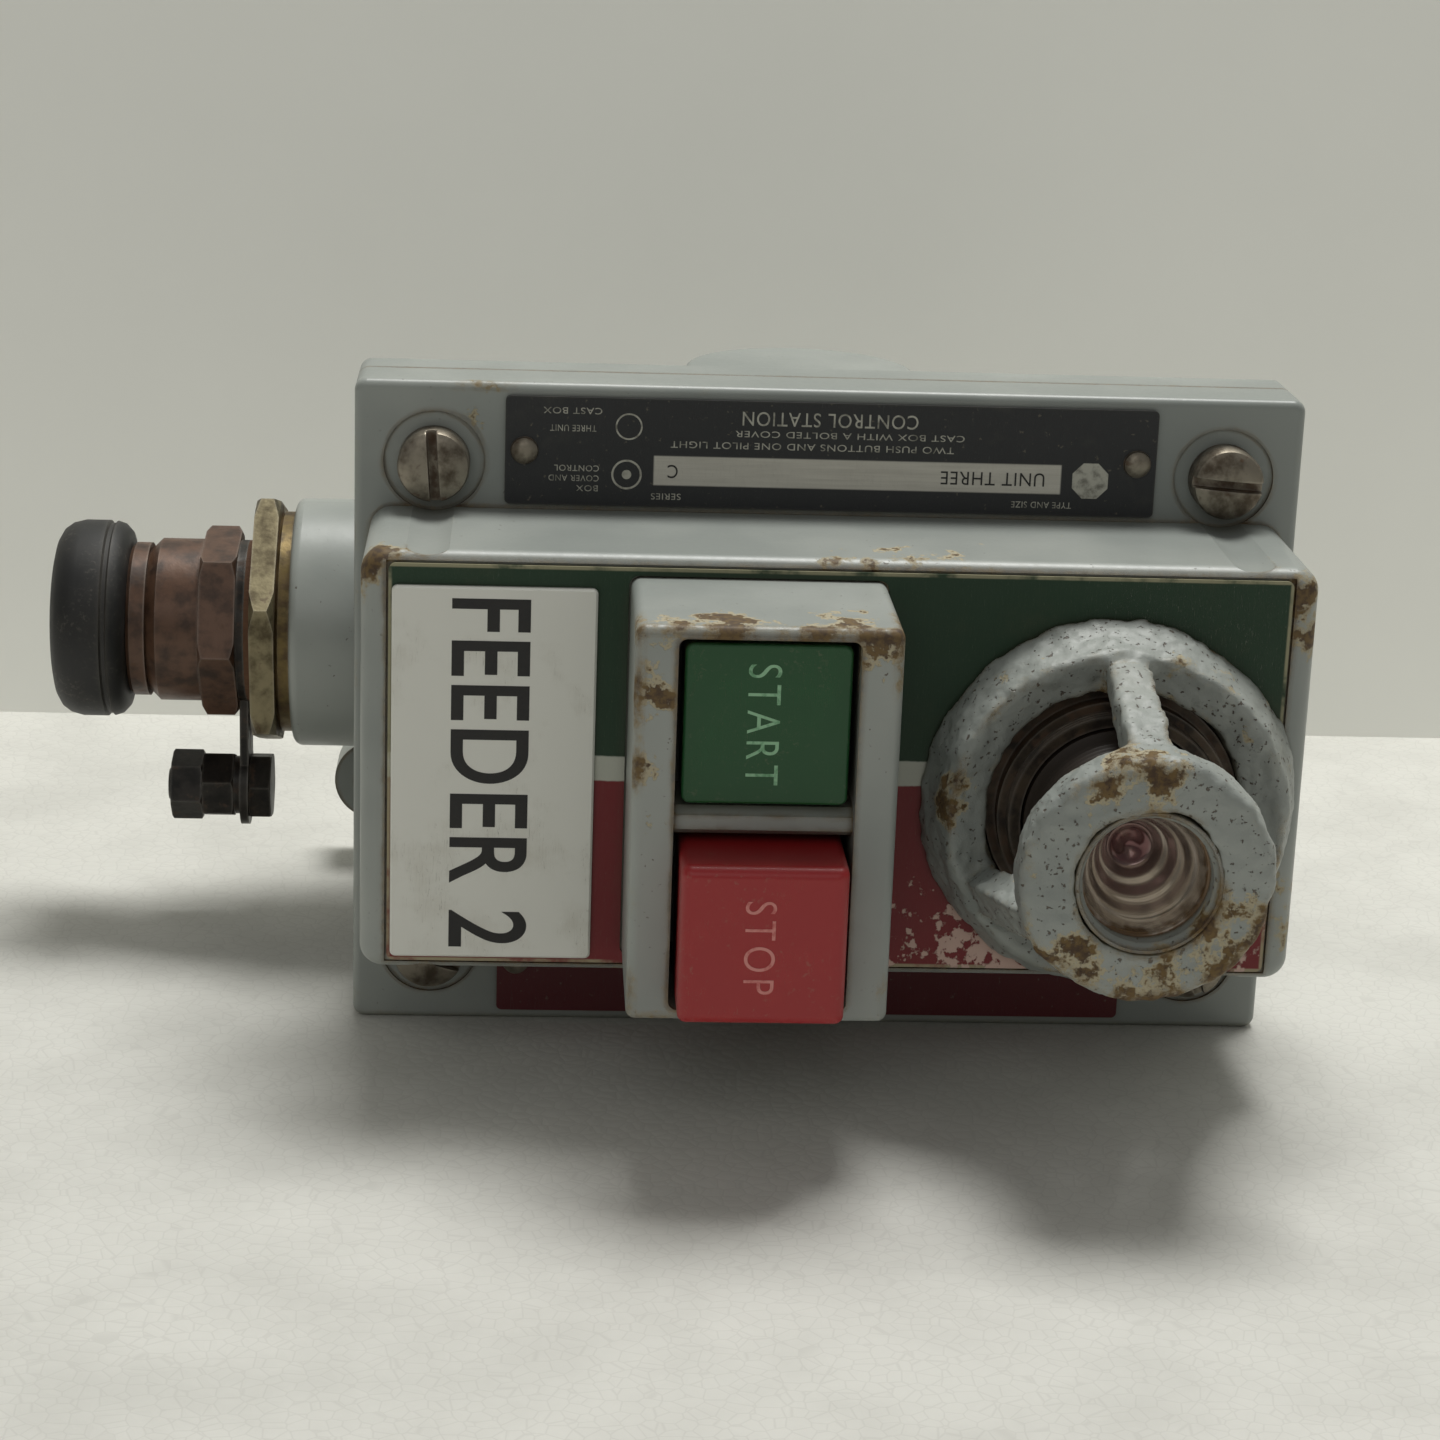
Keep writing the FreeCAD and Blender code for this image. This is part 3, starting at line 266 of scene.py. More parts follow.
# %% [markdown]
# ## Writing shaders as sums
# A worn surface is a recipe of masks: where the edges are, where a chip is, how dirty a corner
# is. Written as nodes one by one it is long and hard to read. A small class wraps a socket and
# overloads + - * /, so that a mask reads as a formula and the Math nodes are added behind it.

# %% A value that does arithmetic
class Wire:
    """One value in a material. Arithmetic on it adds a Math node."""

    def __init__(self, finish, socket):
        self.finish = finish
        self.socket = socket

    def maths(self, operation, first, second):
        return self.finish.node("ShaderNodeMath", {"operation": operation}, {0: first, 1: second})

    def __add__(self, other):
        return self.maths("ADD", self, other)

    def __radd__(self, other):
        return self.maths("ADD", other, self)

    def __sub__(self, other):
        return self.maths("SUBTRACT", self, other)

    def __rsub__(self, other):
        return self.maths("SUBTRACT", other, self)

    def __mul__(self, other):
        return self.maths("MULTIPLY", self, other)

    def __rmul__(self, other):
        return self.maths("MULTIPLY", other, self)

    def __truediv__(self, other):
        return self.maths("DIVIDE", self, other)

    def __abs__(self):
        return self.finish.node("ShaderNodeMath", {"operation": "ABSOLUTE"}, {0: self})


def larger(a, b):
    return a.maths("MAXIMUM", a, b)


def seen(red, green, blue):
    """A colour as a screen shows it, 0 to 255, turned into the linear values that shaders use."""
    linear = []
    for value in (red, green, blue):
        part = value / 255
        linear.append(part / 12.92 if part <= 0.04045 else ((part + 0.055) / 1.055) ** 2.4)
    return (*linear, 1.0)


print("mid grey", [round(v, 3) for v in seen(128, 128, 128)])

# %% [markdown]
# ## One method for every node
# A material is a tree of nodes, and making a node always takes the same three things: its type,
# its settings, and what goes into its sockets. One method does that, and the few steps that end
# every material stand on it.

# %% A material that is written node by node
class NodeWriter:
    """A material being written."""

    def __init__(self, name):
        self.material = bpy.data.materials.new(name)
        self.material.use_nodes = True
        self.tree = self.material.node_tree
        self.tree.nodes.clear()

    def node(self, kind, settings, values, output=0):
        node = self.tree.nodes.new(kind)
        for key, value in settings.items():
            setattr(node, key, value)
        for key, value in values.items():
            if isinstance(value, Wire):
                self.tree.links.new(value.socket, node.inputs[key])
            else:
                node.inputs[key].default_value = value
        return Wire(self, node.outputs[output]) if node.outputs else None

    def step(self, value, low, high):
        """0 below low, 1 above high, and a soft slope between."""
        return self.node("ShaderNodeMapRange", {"interpolation_type": "SMOOTHSTEP"},
                         {"Value": value, "From Min": low, "From Max": high})

    def mix(self, base, over, mask):
        return self.node("ShaderNodeMix", {"data_type": "RGBA", "clamp_factor": True},
                         {0: mask, 6: base, 7: over}, 2)

    def shader(self, values, height, depth):
        """The surface's shader. height is in shares of depth."""
        bump = self.node("ShaderNodeBump", {}, {
            "Height": height, "Distance": depth, "Strength": 1.0})
        return self.node("ShaderNodeBsdfPrincipled", {}, {**values, "Normal": bump})

    def end(self, shader):
        self.node("ShaderNodeOutputMaterial", {}, {"Surface": shader})
        return self.material

    def surface(self, values, height, depth):
        return self.end(self.shader(values, height, depth))


print("a new material starts empty, with one method to fill it")

# %% [markdown]
# ## Patterns that the finishes share
# Wear follows a few patterns on any material: clouds of dirt, scratches, rubbed edges, dust in
# corners, and spots that are known to be worn. Each reads Object coordinates, so it stays where
# it is on the piece, and its size is given in metres.

# %% A finish with its patterns
class Finish(NodeWriter):
    """A material with the patterns of wear."""

    def __init__(self, name):
        super().__init__(name)
        self.place = self.node("ShaderNodeTexCoord", {}, {}, "Object")
        self.x, self.y, self.z = (
            self.node("ShaderNodeSeparateXYZ", {}, {0: self.place}, axis) for axis in "XYZ")

    def clouds(self, size, seed, detail=3.0, stretch=(1, 1, 1), turn=(0, 0, 0)):
        """Cloudy values about 0.5 whose patches are about size metres wide."""
        place = self.node("ShaderNodeMapping", {}, {
            "Vector": self.place, "Scale": stretch, "Rotation": turn,
            "Location": (seed * 1.7, seed * 0.9, seed * 2.3)})
        return self.node("ShaderNodeTexNoise", {}, {
            "Vector": place, "Scale": 1 / size, "Detail": detail, "Roughness": 0.6})

    def near(self, spot, radius):
        """1 at a spot on the object, fading to 0 at a radius."""
        away = self.node("ShaderNodeVectorMath", {"operation": "DISTANCE"},
                         {0: self.place, 1: spot}, "Value")
        return 1 - self.step(away, radius * 0.2, radius)

    def edges(self, radius):
        """High where the surface turns a corner within a radius."""
        soft = self.node("ShaderNodeBevel", {"samples": 4}, {"Radius": radius})
        plain = self.node("ShaderNodeNewGeometry", {}, {}, "Normal")
        return 1 - self.node("ShaderNodeVectorMath", {"operation": "DOT_PRODUCT"},
                             {0: soft, 1: plain}, "Value")

    def corners(self, reach):
        """High in occluded creases: painted shade there, and where dirt and rust settle."""
        return 1 - self.node("ShaderNodeAmbientOcclusion", {"samples": 4, "only_local": False},
                             {"Distance": reach}, "AO")

    def scratches(self, size, seed, turn, width=0.004, stretch=14.0):
        """Long thin lines that wander a little, all in about one direction."""
        lines = self.clouds(size, seed, 1.0, (stretch, stretch, 1.0), turn)
        return 1 - self.step(abs(lines - 0.5), width * 0.3, width)


fresh = set()


def coat_node(material, *node_names):
    """Gives carried-over CAD nodes a finish."""
    for node_name in node_names:
        mesh = nodes[node_name].data
        mesh.materials.clear()
        mesh.materials.append(material)
        fresh.add(node_name)


print("finishes can be given to", len(nodes), "CAD nodes")

# %% [markdown]
# ## Grey enamel on cast metal
# The castings are sprayed with blue-grey enamel, in several coats over the years. Paint is thin
# on outside edges, so knocks break it there first: a chip shows a cream rim of old primer round a
# dark, rusty-brown heart. One mask is made from edges and clouds added together and cut off
# sharply, which gives chips with torn outlines. Clouds of dirt go on last, mixed with shade
# painted into the corners and creases. The same recipe with other numbers serves the smooth cover
# and the rough cast guard.

# %% The enamel recipe
ENAMEL = seen(142, 147, 143)
ENAMEL_PALE = seen(160, 164, 159)
PRIMER = seen(176, 166, 140)
BARE_BROWN = seen(72, 54, 38)
GOLD_DIRT = seen(110, 88, 52)


def enamel(name, chipping, dirt_and_shade, lump, spots, pitted=0.0):
    """Worn grey enamel. spots are (place, radius, extra chipping) triples; pitted is 0 to 1."""
    f = Finish(name)
    edge = f.edges(1.6 * MM)
    broad = f.clouds(38 * MM, 1, 3.0)
    torn = f.clouds(5 * MM, 2, 7.0)
    fine = f.clouds(1.1 * MM, 3, 4.0)
    wear = edge * 2.6 + torn * 1.25 + fine * 0.28 + broad * 0.35
    for place, radius, extra in spots:
        wear = wear + f.near(place, radius) * (edge * 6 + 0.7) * extra
    rim = f.step(wear, 1.56 - chipping, 1.60 - chipping)
    heart = f.step(wear, 1.63 - chipping, 1.68 - chipping)
    dots = f.step(f.clouds(0.9 * MM, 4, 2.0), 0.70 - pitted * 0.07, 0.76 - pitted * 0.07)
    specks = dots * f.step(broad, 0.42 - pitted * 0.2, 0.6 - pitted * 0.2)
    # Painted shade: occlusion darkens the creases and corners, mixed with clouds of real dirt.
    crease_shade = f.step(f.corners(5 * MM), 0.30, 0.85)
    dirt_clouds_and_crease_shade = f.clouds(14 * MM, 5, 5.0) * 0.6 + crease_shade * 0.5
    dirt_and_crease_shade = f.step(dirt_clouds_and_crease_shade, 0.46 - dirt_and_shade * 0.16, 0.80 - dirt_and_shade * 0.16) * dirt_and_shade
    colour = f.mix(ENAMEL, ENAMEL_PALE, f.step(broad, 0.35, 0.7))
    colour = f.mix(colour, seen(112, 106, 82), dirt_and_crease_shade)
    colour = f.mix(colour, BARE_BROWN, specks * 0.8)
    colour = f.mix(colour, PRIMER, rim)
    colour = f.mix(colour, f.mix(BARE_BROWN, GOLD_DIRT, f.step(fine, 0.35, 0.65)), heart)
    peel = f.clouds(2.2 * MM, 6, 2.0)
    height = (peel * 0.22 * lump + f.clouds(9 * MM, 7, 2.0) * lump + fine * (0.1 + pitted)
              - rim * 0.5 - heart * 0.6 - specks * (0.3 + pitted))
    rough = 0.40 + pitted * 0.12 + dirt_and_crease_shade * 0.3 + rim * 0.35 + (fine - 0.5) * 0.15
    return f.surface({"Base Color": colour, "Roughness": rough, "Coat Weight": 0.12,
                      "Coat Roughness": 0.35}, height, 0.12 * MM)


cover_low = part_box("cover")[0]
chamber_low, chamber_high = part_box("legend_plate")
bezel_low, bezel_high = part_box("button_bezel")
face_y = chamber_low.y
print("in mm: front face", round(face_y / MM, 1), " bezel front", round(bezel_low.y / MM, 1))

# %% [markdown]
# ## Where the castings are knocked
# A box on a wall is hit on the same places for years: the rim's corners, the lip above the
# buttons, the bezel's top. Each place is a spot with a radius and how much more it is chipped,
# measured from the corners of the real boxes.

# %% Paint the castings
rim_left = chamber_low.x - 4 * MM
rim_right = chamber_high.x + 4 * MM
rim_top = chamber_high.z + 1.6 * MM
casting_spots = [
    (Vector((rim_left, face_y, rim_top)), 11 * MM, 0.62),
    (Vector((rim_right, face_y, rim_top - 6 * MM)), 13 * MM, 0.58),
    (Vector((rim_right, face_y, -18 * MM)), 14 * MM, 0.44),
    (Vector((10 * MM, face_y, rim_top)), 24 * MM, 0.40),
    (Vector((-35 * MM, face_y, -rim_top)), 22 * MM, 0.34),
    (Vector((-52 * MM, cover_low.y + 29 * MM, 47 * MM)), 9 * MM, 0.28),
]
casting_paint = enamel("worn grey enamel", 0.30, 0.45, 0.5, casting_spots)
coat_node(casting_paint, "cover", "back_box")

bezel_spots = [
    (Vector((bezel_low.x + 9 * MM, bezel_low.y, bezel_high.z)), 17 * MM, 0.55),
    (Vector((bezel_high.x - 6 * MM, bezel_low.y, bezel_high.z)), 16 * MM, 0.50),
    (Vector((bezel_low.x, bezel_low.y, bezel_low.z)), 13 * MM, 0.34),
    (Vector((bezel_high.x, bezel_low.y, bezel_low.z + 4 * MM)), 8 * MM, 0.22),
    (Vector((bezel_low.x + 2 * MM, bezel_low.y, 18 * MM)), 7 * MM, 0.42),
    (Vector((bezel_low.x + 2 * MM, bezel_low.y, 8 * MM)), 6 * MM, 0.40),
]
bezel_paint = enamel("bezel enamel", 0.30, 0.50, 0.35, bezel_spots)
coat_node(bezel_paint, "button_bezel")
print("castings painted")

# %% [markdown]
# ## Recipes in Geometry Nodes
# Screws, rivets, springs and thread ridges repeat, so each is one Geometry Nodes tree with named
# sizes. A small class writes a tree in the same way as a material. The sizes are set on the
# modifier by each socket's identifier, then the result is taken as a plain mesh, because an
# exported model can't carry instances.

# %% A Geometry Nodes tree that is built up step by step
class Recipe:
    """A Geometry Nodes tree being written; sizes are (label, socket type) pairs."""

    def __init__(self, name, sizes):
        self.tree = bpy.data.node_groups.new(name, "GeometryNodeTree")
        face = self.tree.interface
        face.new_socket("Geometry", in_out="INPUT", socket_type="NodeSocketGeometry")
        face.new_socket("Geometry", in_out="OUTPUT", socket_type="NodeSocketGeometry")
        for label, kind in sizes:
            face.new_socket(label, in_out="INPUT", socket_type="NodeSocket" + kind)
        self.given = self.tree.nodes.new("NodeGroupInput").outputs

    def node(self, kind, settings, values, output=0):
        node = self.tree.nodes.new(kind)
        for key, value in settings.items():
            setattr(node, key, value)
        for key, value in values.items():
            if isinstance(value, bpy.types.NodeSocket):
                self.tree.links.new(value, node.inputs[key])
            else:
                node.inputs[key].default_value = value
        return node.outputs[output] if node.outputs else None

    def end(self, geometry):
        """Every tree ends the same way: real mesh, with its finish."""
        real = self.node("GeometryNodeRealizeInstances", {}, {0: geometry})
        done = self.node("GeometryNodeSetMaterial", {}, {
            "Geometry": real, "Material": self.given["Finish"]})
        self.node("NodeGroupOutput", {}, {"Geometry": done})

    def grow(self, mesh, sizes, before=()):
        """Runs the recipe on a mesh and returns the plain mesh that comes out."""
        thing = bpy.data.objects.new("growing", mesh)
        scene.collection.objects.link(thing)
        for kind, settings in before:
            modifier = thing.modifiers.new(kind.lower(), kind)
            for key, value in settings.items():
                setattr(modifier, key, value)
        modifier = thing.modifiers.new("recipe", "NODES")
        modifier.node_group = self.tree
        for item in self.tree.interface.items_tree:
            if item.in_out == "INPUT" and item.name in sizes:
                modifier[item.identifier] = sizes[item.name]
        return evaluated_mesh(thing)


print("recipes end in real mesh with a finish")

# %% [markdown]
# ## The cast guard
# The guard is the roughest piece: a dished ring, three slanting arms and a disc, poured in one
# go in sand. In the CAD model these meet in sharp corners. Melting them together with a voxel
# remesh gives the blended corners of a casting, and a tree then pushes the skin in and out by
# smooth noise at two sizes, for lumps and for pits. A sculpt could do it, but not by numbers.

# %% The sand-cast skin recipe
sand_cast = Recipe("sand-cast skin", [
    ("Lump Size", "Float"), ("Lump Height", "Float"), ("Pit Size", "Float"),
    ("Pit Height", "Float"), ("Seed", "Float"), ("Finish", "Material")])
normal = sand_cast.node("GeometryNodeInputNormal", {}, {})


def maths(operation, first, second):
    return sand_cast.node("ShaderNodeMath", {"operation": operation}, {0: first, 1: second})


pushes = []
for label in ("Lump", "Pit"):
    per_metre = maths("DIVIDE", 1.0, sand_cast.given[label + " Size"])
    noise = sand_cast.node("ShaderNodeTexNoise", {"noise_dimensions": "4D"},
                           {"Scale": per_metre, "Detail": 2.0, "W": sand_cast.given["Seed"]})
    centred = maths("SUBTRACT", noise, 0.5)
    pushes.append(maths("MULTIPLY", centred, sand_cast.given[label + " Height"]))
total = maths("ADD", *pushes)
offset = sand_cast.node("ShaderNodeVectorMath", {"operation": "SCALE"},
                        {0: normal, "Scale": total})
moved = sand_cast.node("GeometryNodeSetPosition", {}, {
    "Geometry": sand_cast.given["Geometry"], "Offset": offset})
sand_cast.end(moved)
print("sand-cast skin has", len(sand_cast.tree.nodes), "nodes")

# %% [markdown]
# ## Casting it
# The arms and the disc stand in front of everything else, so they are knocked most. The spots are
# placed from the pilot light's axis. A fine voxel keeps the arms' shape, and a few smoothing
# passes take out its steps before the skin is pushed about.

# %% Cast the guard
ring_low, ring_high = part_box("lens_ring")
pilot = middle((ring_low, ring_high))
disc_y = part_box("pilot_guard")[0].y
guard_spots = [
    (Vector((pilot.x - 3 * MM, disc_y, pilot.z + 15 * MM)), 11 * MM, 0.46),
    (Vector((pilot.x + 14 * MM, disc_y, pilot.z - 8 * MM)), 12 * MM, 0.52),
    (Vector((pilot.x - 12 * MM, disc_y, pilot.z - 12 * MM)), 9 * MM, 0.40),
    (Vector((pilot.x + 2 * MM, disc_y, pilot.z - 17 * MM)), 11 * MM, 0.50),
    (Vector((pilot.x - 24 * MM, face_y - 9 * MM, pilot.z + 3 * MM)), 9 * MM, 0.36),
    (Vector((pilot.x + 24 * MM, face_y - 9 * MM, pilot.z - 12 * MM)), 10 * MM, 0.30),
]
guard_paint = enamel("guard enamel", 0.40, 0.85, 2.2, guard_spots, pitted=1.0)
VOXEL = 0.46 * MM
guard_mesh = sand_cast.grow(mesh_from(merged_copy("pilot_guard"), "guard"), {
    "Lump Size": 6.5 * MM, "Lump Height": 2.2 * MM, "Pit Size": 2.0 * MM, "Pit Height": 0.8 * MM,
    "Seed": 4.0, "Finish": guard_paint},
    before=[("REMESH", {"mode": "VOXEL", "voxel_size": VOXEL}),
            ("SMOOTH", {"factor": 0.5, "iterations": 7})])
shade(guard_mesh, math.radians(180))
finished(guard_mesh, "guard_casting", "enclosure", "grey_paint", "pilot_guard")
coat_node(guard_paint, "lens_ring")

# %% [markdown]
# ## The legend plate
# A thin plate is let into the cover's face: green enamel above, red below, with a white stripe
# where they meet. Height alone picks the colour. The plate is scratched at its upper right, the
# enamel has flaked at the lower right down to a pinkish primer, and dirt lines its edges. Shade
# is painted dark round the bezel and the guard and along the plate's inlaid edges.

# %% Enamel the legend plate
GREEN = seen(15, 52, 27)
RED = seen(118, 24, 30)
STRIPE = seen(190, 192, 180)
CREAM = seen(204, 174, 162)
EDGE_LINE = seen(170, 164, 132)
STRIPE_IN = 1.7 * MM
STRIPE_OUT = 2.0 * MM
f = Finish("legend enamel")
wobble = (f.clouds(3 * MM, 11, 4.0) - 0.5) * 0.5 * MM
height = f.z + wobble
colour = f.mix(RED, STRIPE, f.step(height, -STRIPE_OUT, -STRIPE_IN))
colour = f.mix(colour, GREEN, f.step(height, STRIPE_IN, STRIPE_OUT))
dust = f.clouds(12 * MM, 12, 5.0)
colour = f.mix(colour, seen(96, 88, 68), f.step(dust, 0.5, 0.9) * 0.3)
flaking = (f.clouds(3.2 * MM, 13, 7.0) * 1.2
           + f.near(Vector((14 * MM, face_y, -28 * MM)), 26 * MM) * 0.22
           + f.near(Vector((57 * MM, face_y, -27 * MM)), 24 * MM) * 0.28
           + f.near(Vector((30 * MM, face_y, -31 * MM)), 22 * MM) * 0.17)
flake = f.step(flaking, 0.90, 0.95)
side_line = (f.step(abs(f.z), 29.0 * MM, 29.25 * MM)
             * f.step(f.clouds(6 * MM, 14, 6.0), 0.30, 0.52))
end_line = (f.step(abs(f.x), 63.5 * MM, 63.8 * MM)
            * f.step(f.clouds(6 * MM, 15, 6.0), 0.32, 0.55))
scuffed = f.near(Vector((50 * MM, face_y, 20 * MM)), 20 * MM)
crossed = larger(f.scratches(5 * MM, 16, (0, math.radians(35), 0)),
                 f.scratches(4 * MM, 17, (0, math.radians(-28), 0), 0.003))
scratch = crossed * (scuffed * 0.9 + 0.12)
colour = f.mix(colour, seen(150, 156, 140), scratch)
colour = f.mix(colour, EDGE_LINE, larger(side_line, end_line) * 0.8)
colour = f.mix(colour, CREAM, flake)
# Painted shade: occlusion darkens the plate round the bezel and the guard and at its edges.
colour = f.mix(colour, seen(64, 50, 36), f.step(f.corners(4 * MM), 0.35, 0.9) * 0.8)
legend_paint = f.surface({"Base Color": colour, "Roughness": 0.46 + dust * 0.2 + flake * 0.2,
                          "Coat Weight": 0.04},
                         dust * 0.3 - flake * 0.8 - scratch * 0.4, 0.1 * MM)
coat_node(legend_paint, "legend_plate")
print("legend plate painted", round((chamber_high.z - chamber_low.z) / MM, 1), "mm high")

# %% [markdown]
# ## Lettering
# Letters on the caps are filled with pale paint, and those on the label are cut through its white
# face. Text becomes a mesh first, and is then laid out by three directions: which way it reads,
# where the tops of its letters point, and, from those two, which way it faces. Only plain words
# and numbers are used.

# %% A helper that sets a line of letters
READ_DOWN = (Vector((0, 0, -1)), Vector((1, 0, 0)))
READ_UPSIDE_DOWN = (Vector((-1, 0, 0)), Vector((0, 0, -1)))


def letters(shape, words, centre, length, height, directions, weight=0.0, spacing=1.0,
            proud=0.05 * MM):
    """Adds one line of letters to a bmesh, exactly length by height, facing out of the front."""
    curve = bpy.data.curves.new("words", "FONT")
    curve.body = words
    curve.extrude = 0.02
    curve.offset = weight
    curve.space_character = spacing
    thing = bpy.data.objects.new("words", curve)
    scene.collection.objects.link(thing)
    mesh = evaluated_mesh(thing)
    reading, tops = directions
    outwards = reading.cross(tops)
    xs = [v.co.x for v in mesh.vertices]
    ys = [v.co.y for v in mesh.vertices]
    across = length / (max(xs) - min(xs))
    upwards = height / (max(ys) - min(ys))
    mid_x = (max(xs) + min(xs)) / 2
    mid_y = (max(ys) + min(ys)) / 2
    for v in mesh.vertices:
        depth = proud if v.co.z > 0 else -proud
        v.co = (centre + reading * ((v.co.x - mid_x) * across)
                + tops * ((v.co.y - mid_y) * upwards) + outwards * depth)
    shape.from_mesh(mesh)


def lettering(name, lines, body, slot, material):
    """One piece from several lines of letters."""
    shape = bmesh.new()
    for line in lines:
        letters(shape, **line)
    bmesh.ops.recalc_face_normals(shape, faces=shape.faces)
    mesh = mesh_from(shape, name)
    mesh.materials.clear()
    mesh.materials.append(material)
    return finished(mesh, name, body, slot)


print("letters read down or upside down, and face the front")

# %% [markdown]
# ## The two buttons
# The caps are moulded in coloured plastic, darker and duller where thumbs have polished them,
# with specks of dust, and with shade painted dark round the edge, where each cap meets the bezel.
# Their moulded shape is right already in the CAD model, so they only need a finish and their
# words. Each word rides on its button and is pressed in with it.

# %% Plastic and letter paint
def moulded(name, base, worn, seed):
    """Coloured plastic with rubbed edges, fine scratches, dust, and painted shade in its corners.
    """
    f = Finish(name)
    handled = f.clouds(6 * MM, seed, 5.0)
    edge = f.step(f.edges(1.0 * MM) + (handled - 0.5) * 0.12, 0.05, 0.2)
    scratch = (f.scratches(3 * MM, seed + 1, (0, math.radians(20), 0), 0.005)
               * f.step(handled, 0.5, 0.6))
    dust = (f.step(f.clouds(0.8 * MM, seed + 2, 3.0), 0.58, 0.75)
            * f.step(f.clouds(9 * MM, seed + 3), 0.4, 0.7))
    colour = f.mix(base, worn, edge * 0.55 + f.step(handled, 0.45, 0.8) * 0.3)
    colour = f.mix(colour, seen(150, 140, 122), larger(dust * 0.3, scratch * 0.35))
    # Painted shade: occlusion darkens the corners where the cap meets the bezel.
    colour = f.mix(colour, seen(40, 34, 28), f.step(f.corners(2 * MM), 0.5, 1.0) * 0.7)
    return f.surface({"Base Color": colour, "Roughness": 0.32 + handled * 0.22 + dust * 0.2,
                      "Coat Weight": 0.1}, handled * 0.4 + dust * 0.15 - scratch * 0.3, 0.05 * MM)


def letter_paint(name, base, dull, seed):
    """Filled lettering: matt paint that has gone patchy."""
    f = Finish(name)
    patchy = f.clouds(1.2 * MM, seed, 4.0)
    colour = f.mix(base, dull, f.step(patchy, 0.45, 0.75))
    return f.surface({"Base Color": colour, "Roughness": 0.55 + patchy * 0.2}, patchy, 0.03 * MM)


green_plastic = moulded("green moulding", seen(14, 74, 34), seen(28, 94, 50), 21)
red_plastic = moulded("red moulding", seen(158, 30, 34), seen(182, 56, 54), 31)
green_letters = letter_paint("pale green letters", seen(150, 196, 158), seen(96, 148, 108), 25)
pink_letters = letter_paint("pale pink letters", seen(214, 140, 134), seen(190, 92, 90), 35)
print("two plastics and two letter paints")

# %% [markdown]
# ## Words on the caps
# Both words read downwards, because the box lies on its side. Their middle stands a little left
# of the cap's, and they lie a hair's breadth above its face.

# %% Mould the caps and fill their letters
WORD_SHIFT = 0.5 * MM
coat_node(green_plastic, "start_button")
coat_node(red_plastic, "stop_button")
cap_words = {"start": ("green_button", "START", 17.0 * MM, 4.5 * MM, green_letters),
             "stop": ("red_button", "STOP", 13.3 * MM, 4.2 * MM, pink_letters)}
for name, (slot, word, length, height, paint) in cap_words.items():
    low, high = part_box(name + "_button")
    centre = Vector(((low.x + high.x) / 2 - WORD_SHIFT, low.y, (low.z + high.z) / 2))
    word_line = dict(words=word, centre=centre, length=length, height=height,
                     directions=READ_DOWN, spacing=1.25, weight=-0.006)
    lettering(name + "_letters", [word_line], name + "_push", slot, paint)

# %% [markdown]
# ## The white label
# A strip of two-colour laminate: white on top, black underneath. The cutter goes through the
# white, so the letters are black and the strip's bevelled edge is dark where it has worn. It is
# nearly clean, with a little yellowing and rubbed dirt.

# %% Engrave the label
f = Finish("white laminate")
smudge = f.clouds(9 * MM, 41, 5.0)
grime = f.step(smudge, 0.48, 0.8)
colour = f.mix(seen(232, 232, 224), seen(200, 196, 182), grime * 0.5)
# Painted shade: occlusion darkens the label in its corners and along its edges.
colour = f.mix(colour, seen(96, 90, 76), f.step(f.corners(2.5 * MM), 0.45, 1.0) * 0.6)
hairs = f.scratches(6 * MM, 42, (0, math.radians(70), 0), 0.003) * f.step(smudge, 0.5, 0.6)
colour = f.mix(colour, seen(120, 116, 104), hairs * 0.5)
white_laminate = f.surface({"Base Color": colour, "Roughness": 0.36 + smudge * 0.25},
                           smudge * 0.3 - hairs * 0.4, 0.05 * MM)
coat_node(white_laminate, "name_label")
f = Finish("black core")
grain = f.clouds(0.7 * MM, 43, 3.0)
black_core = f.surface({"Base Color": f.mix(seen(24, 24, 26), seen(48, 46, 44), grain),
                        "Roughness": 0.5 + grain * 0.2}, grain, 0.03 * MM)
label_low, label_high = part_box("name_label")
label_front = Vector(((label_low.x + label_high.x) / 2 - 0.4 * MM, label_low.y,
                      (label_low.z + label_high.z) / 2))
label_line = dict(words="FEEDER 2", centre=label_front, length=52 * MM, height=11.2 * MM,
                  directions=READ_DOWN, weight=0.012, spacing=1.06, proud=0.03 * MM)
lettering("label_letters", [label_line], "enclosure", "white_label", black_core)

# %% [markdown]
# ## The two nameplates
# Thin metal plates are riveted above and below. The upper one is black with a bare strip where
# data would be stamped, and was fixed with its words upside down as the box now stands. The lower
# one is dark red and sits in shadow. Both share one recipe: a base colour, rubbed where it has
# been wiped, with specks and fine scratches.

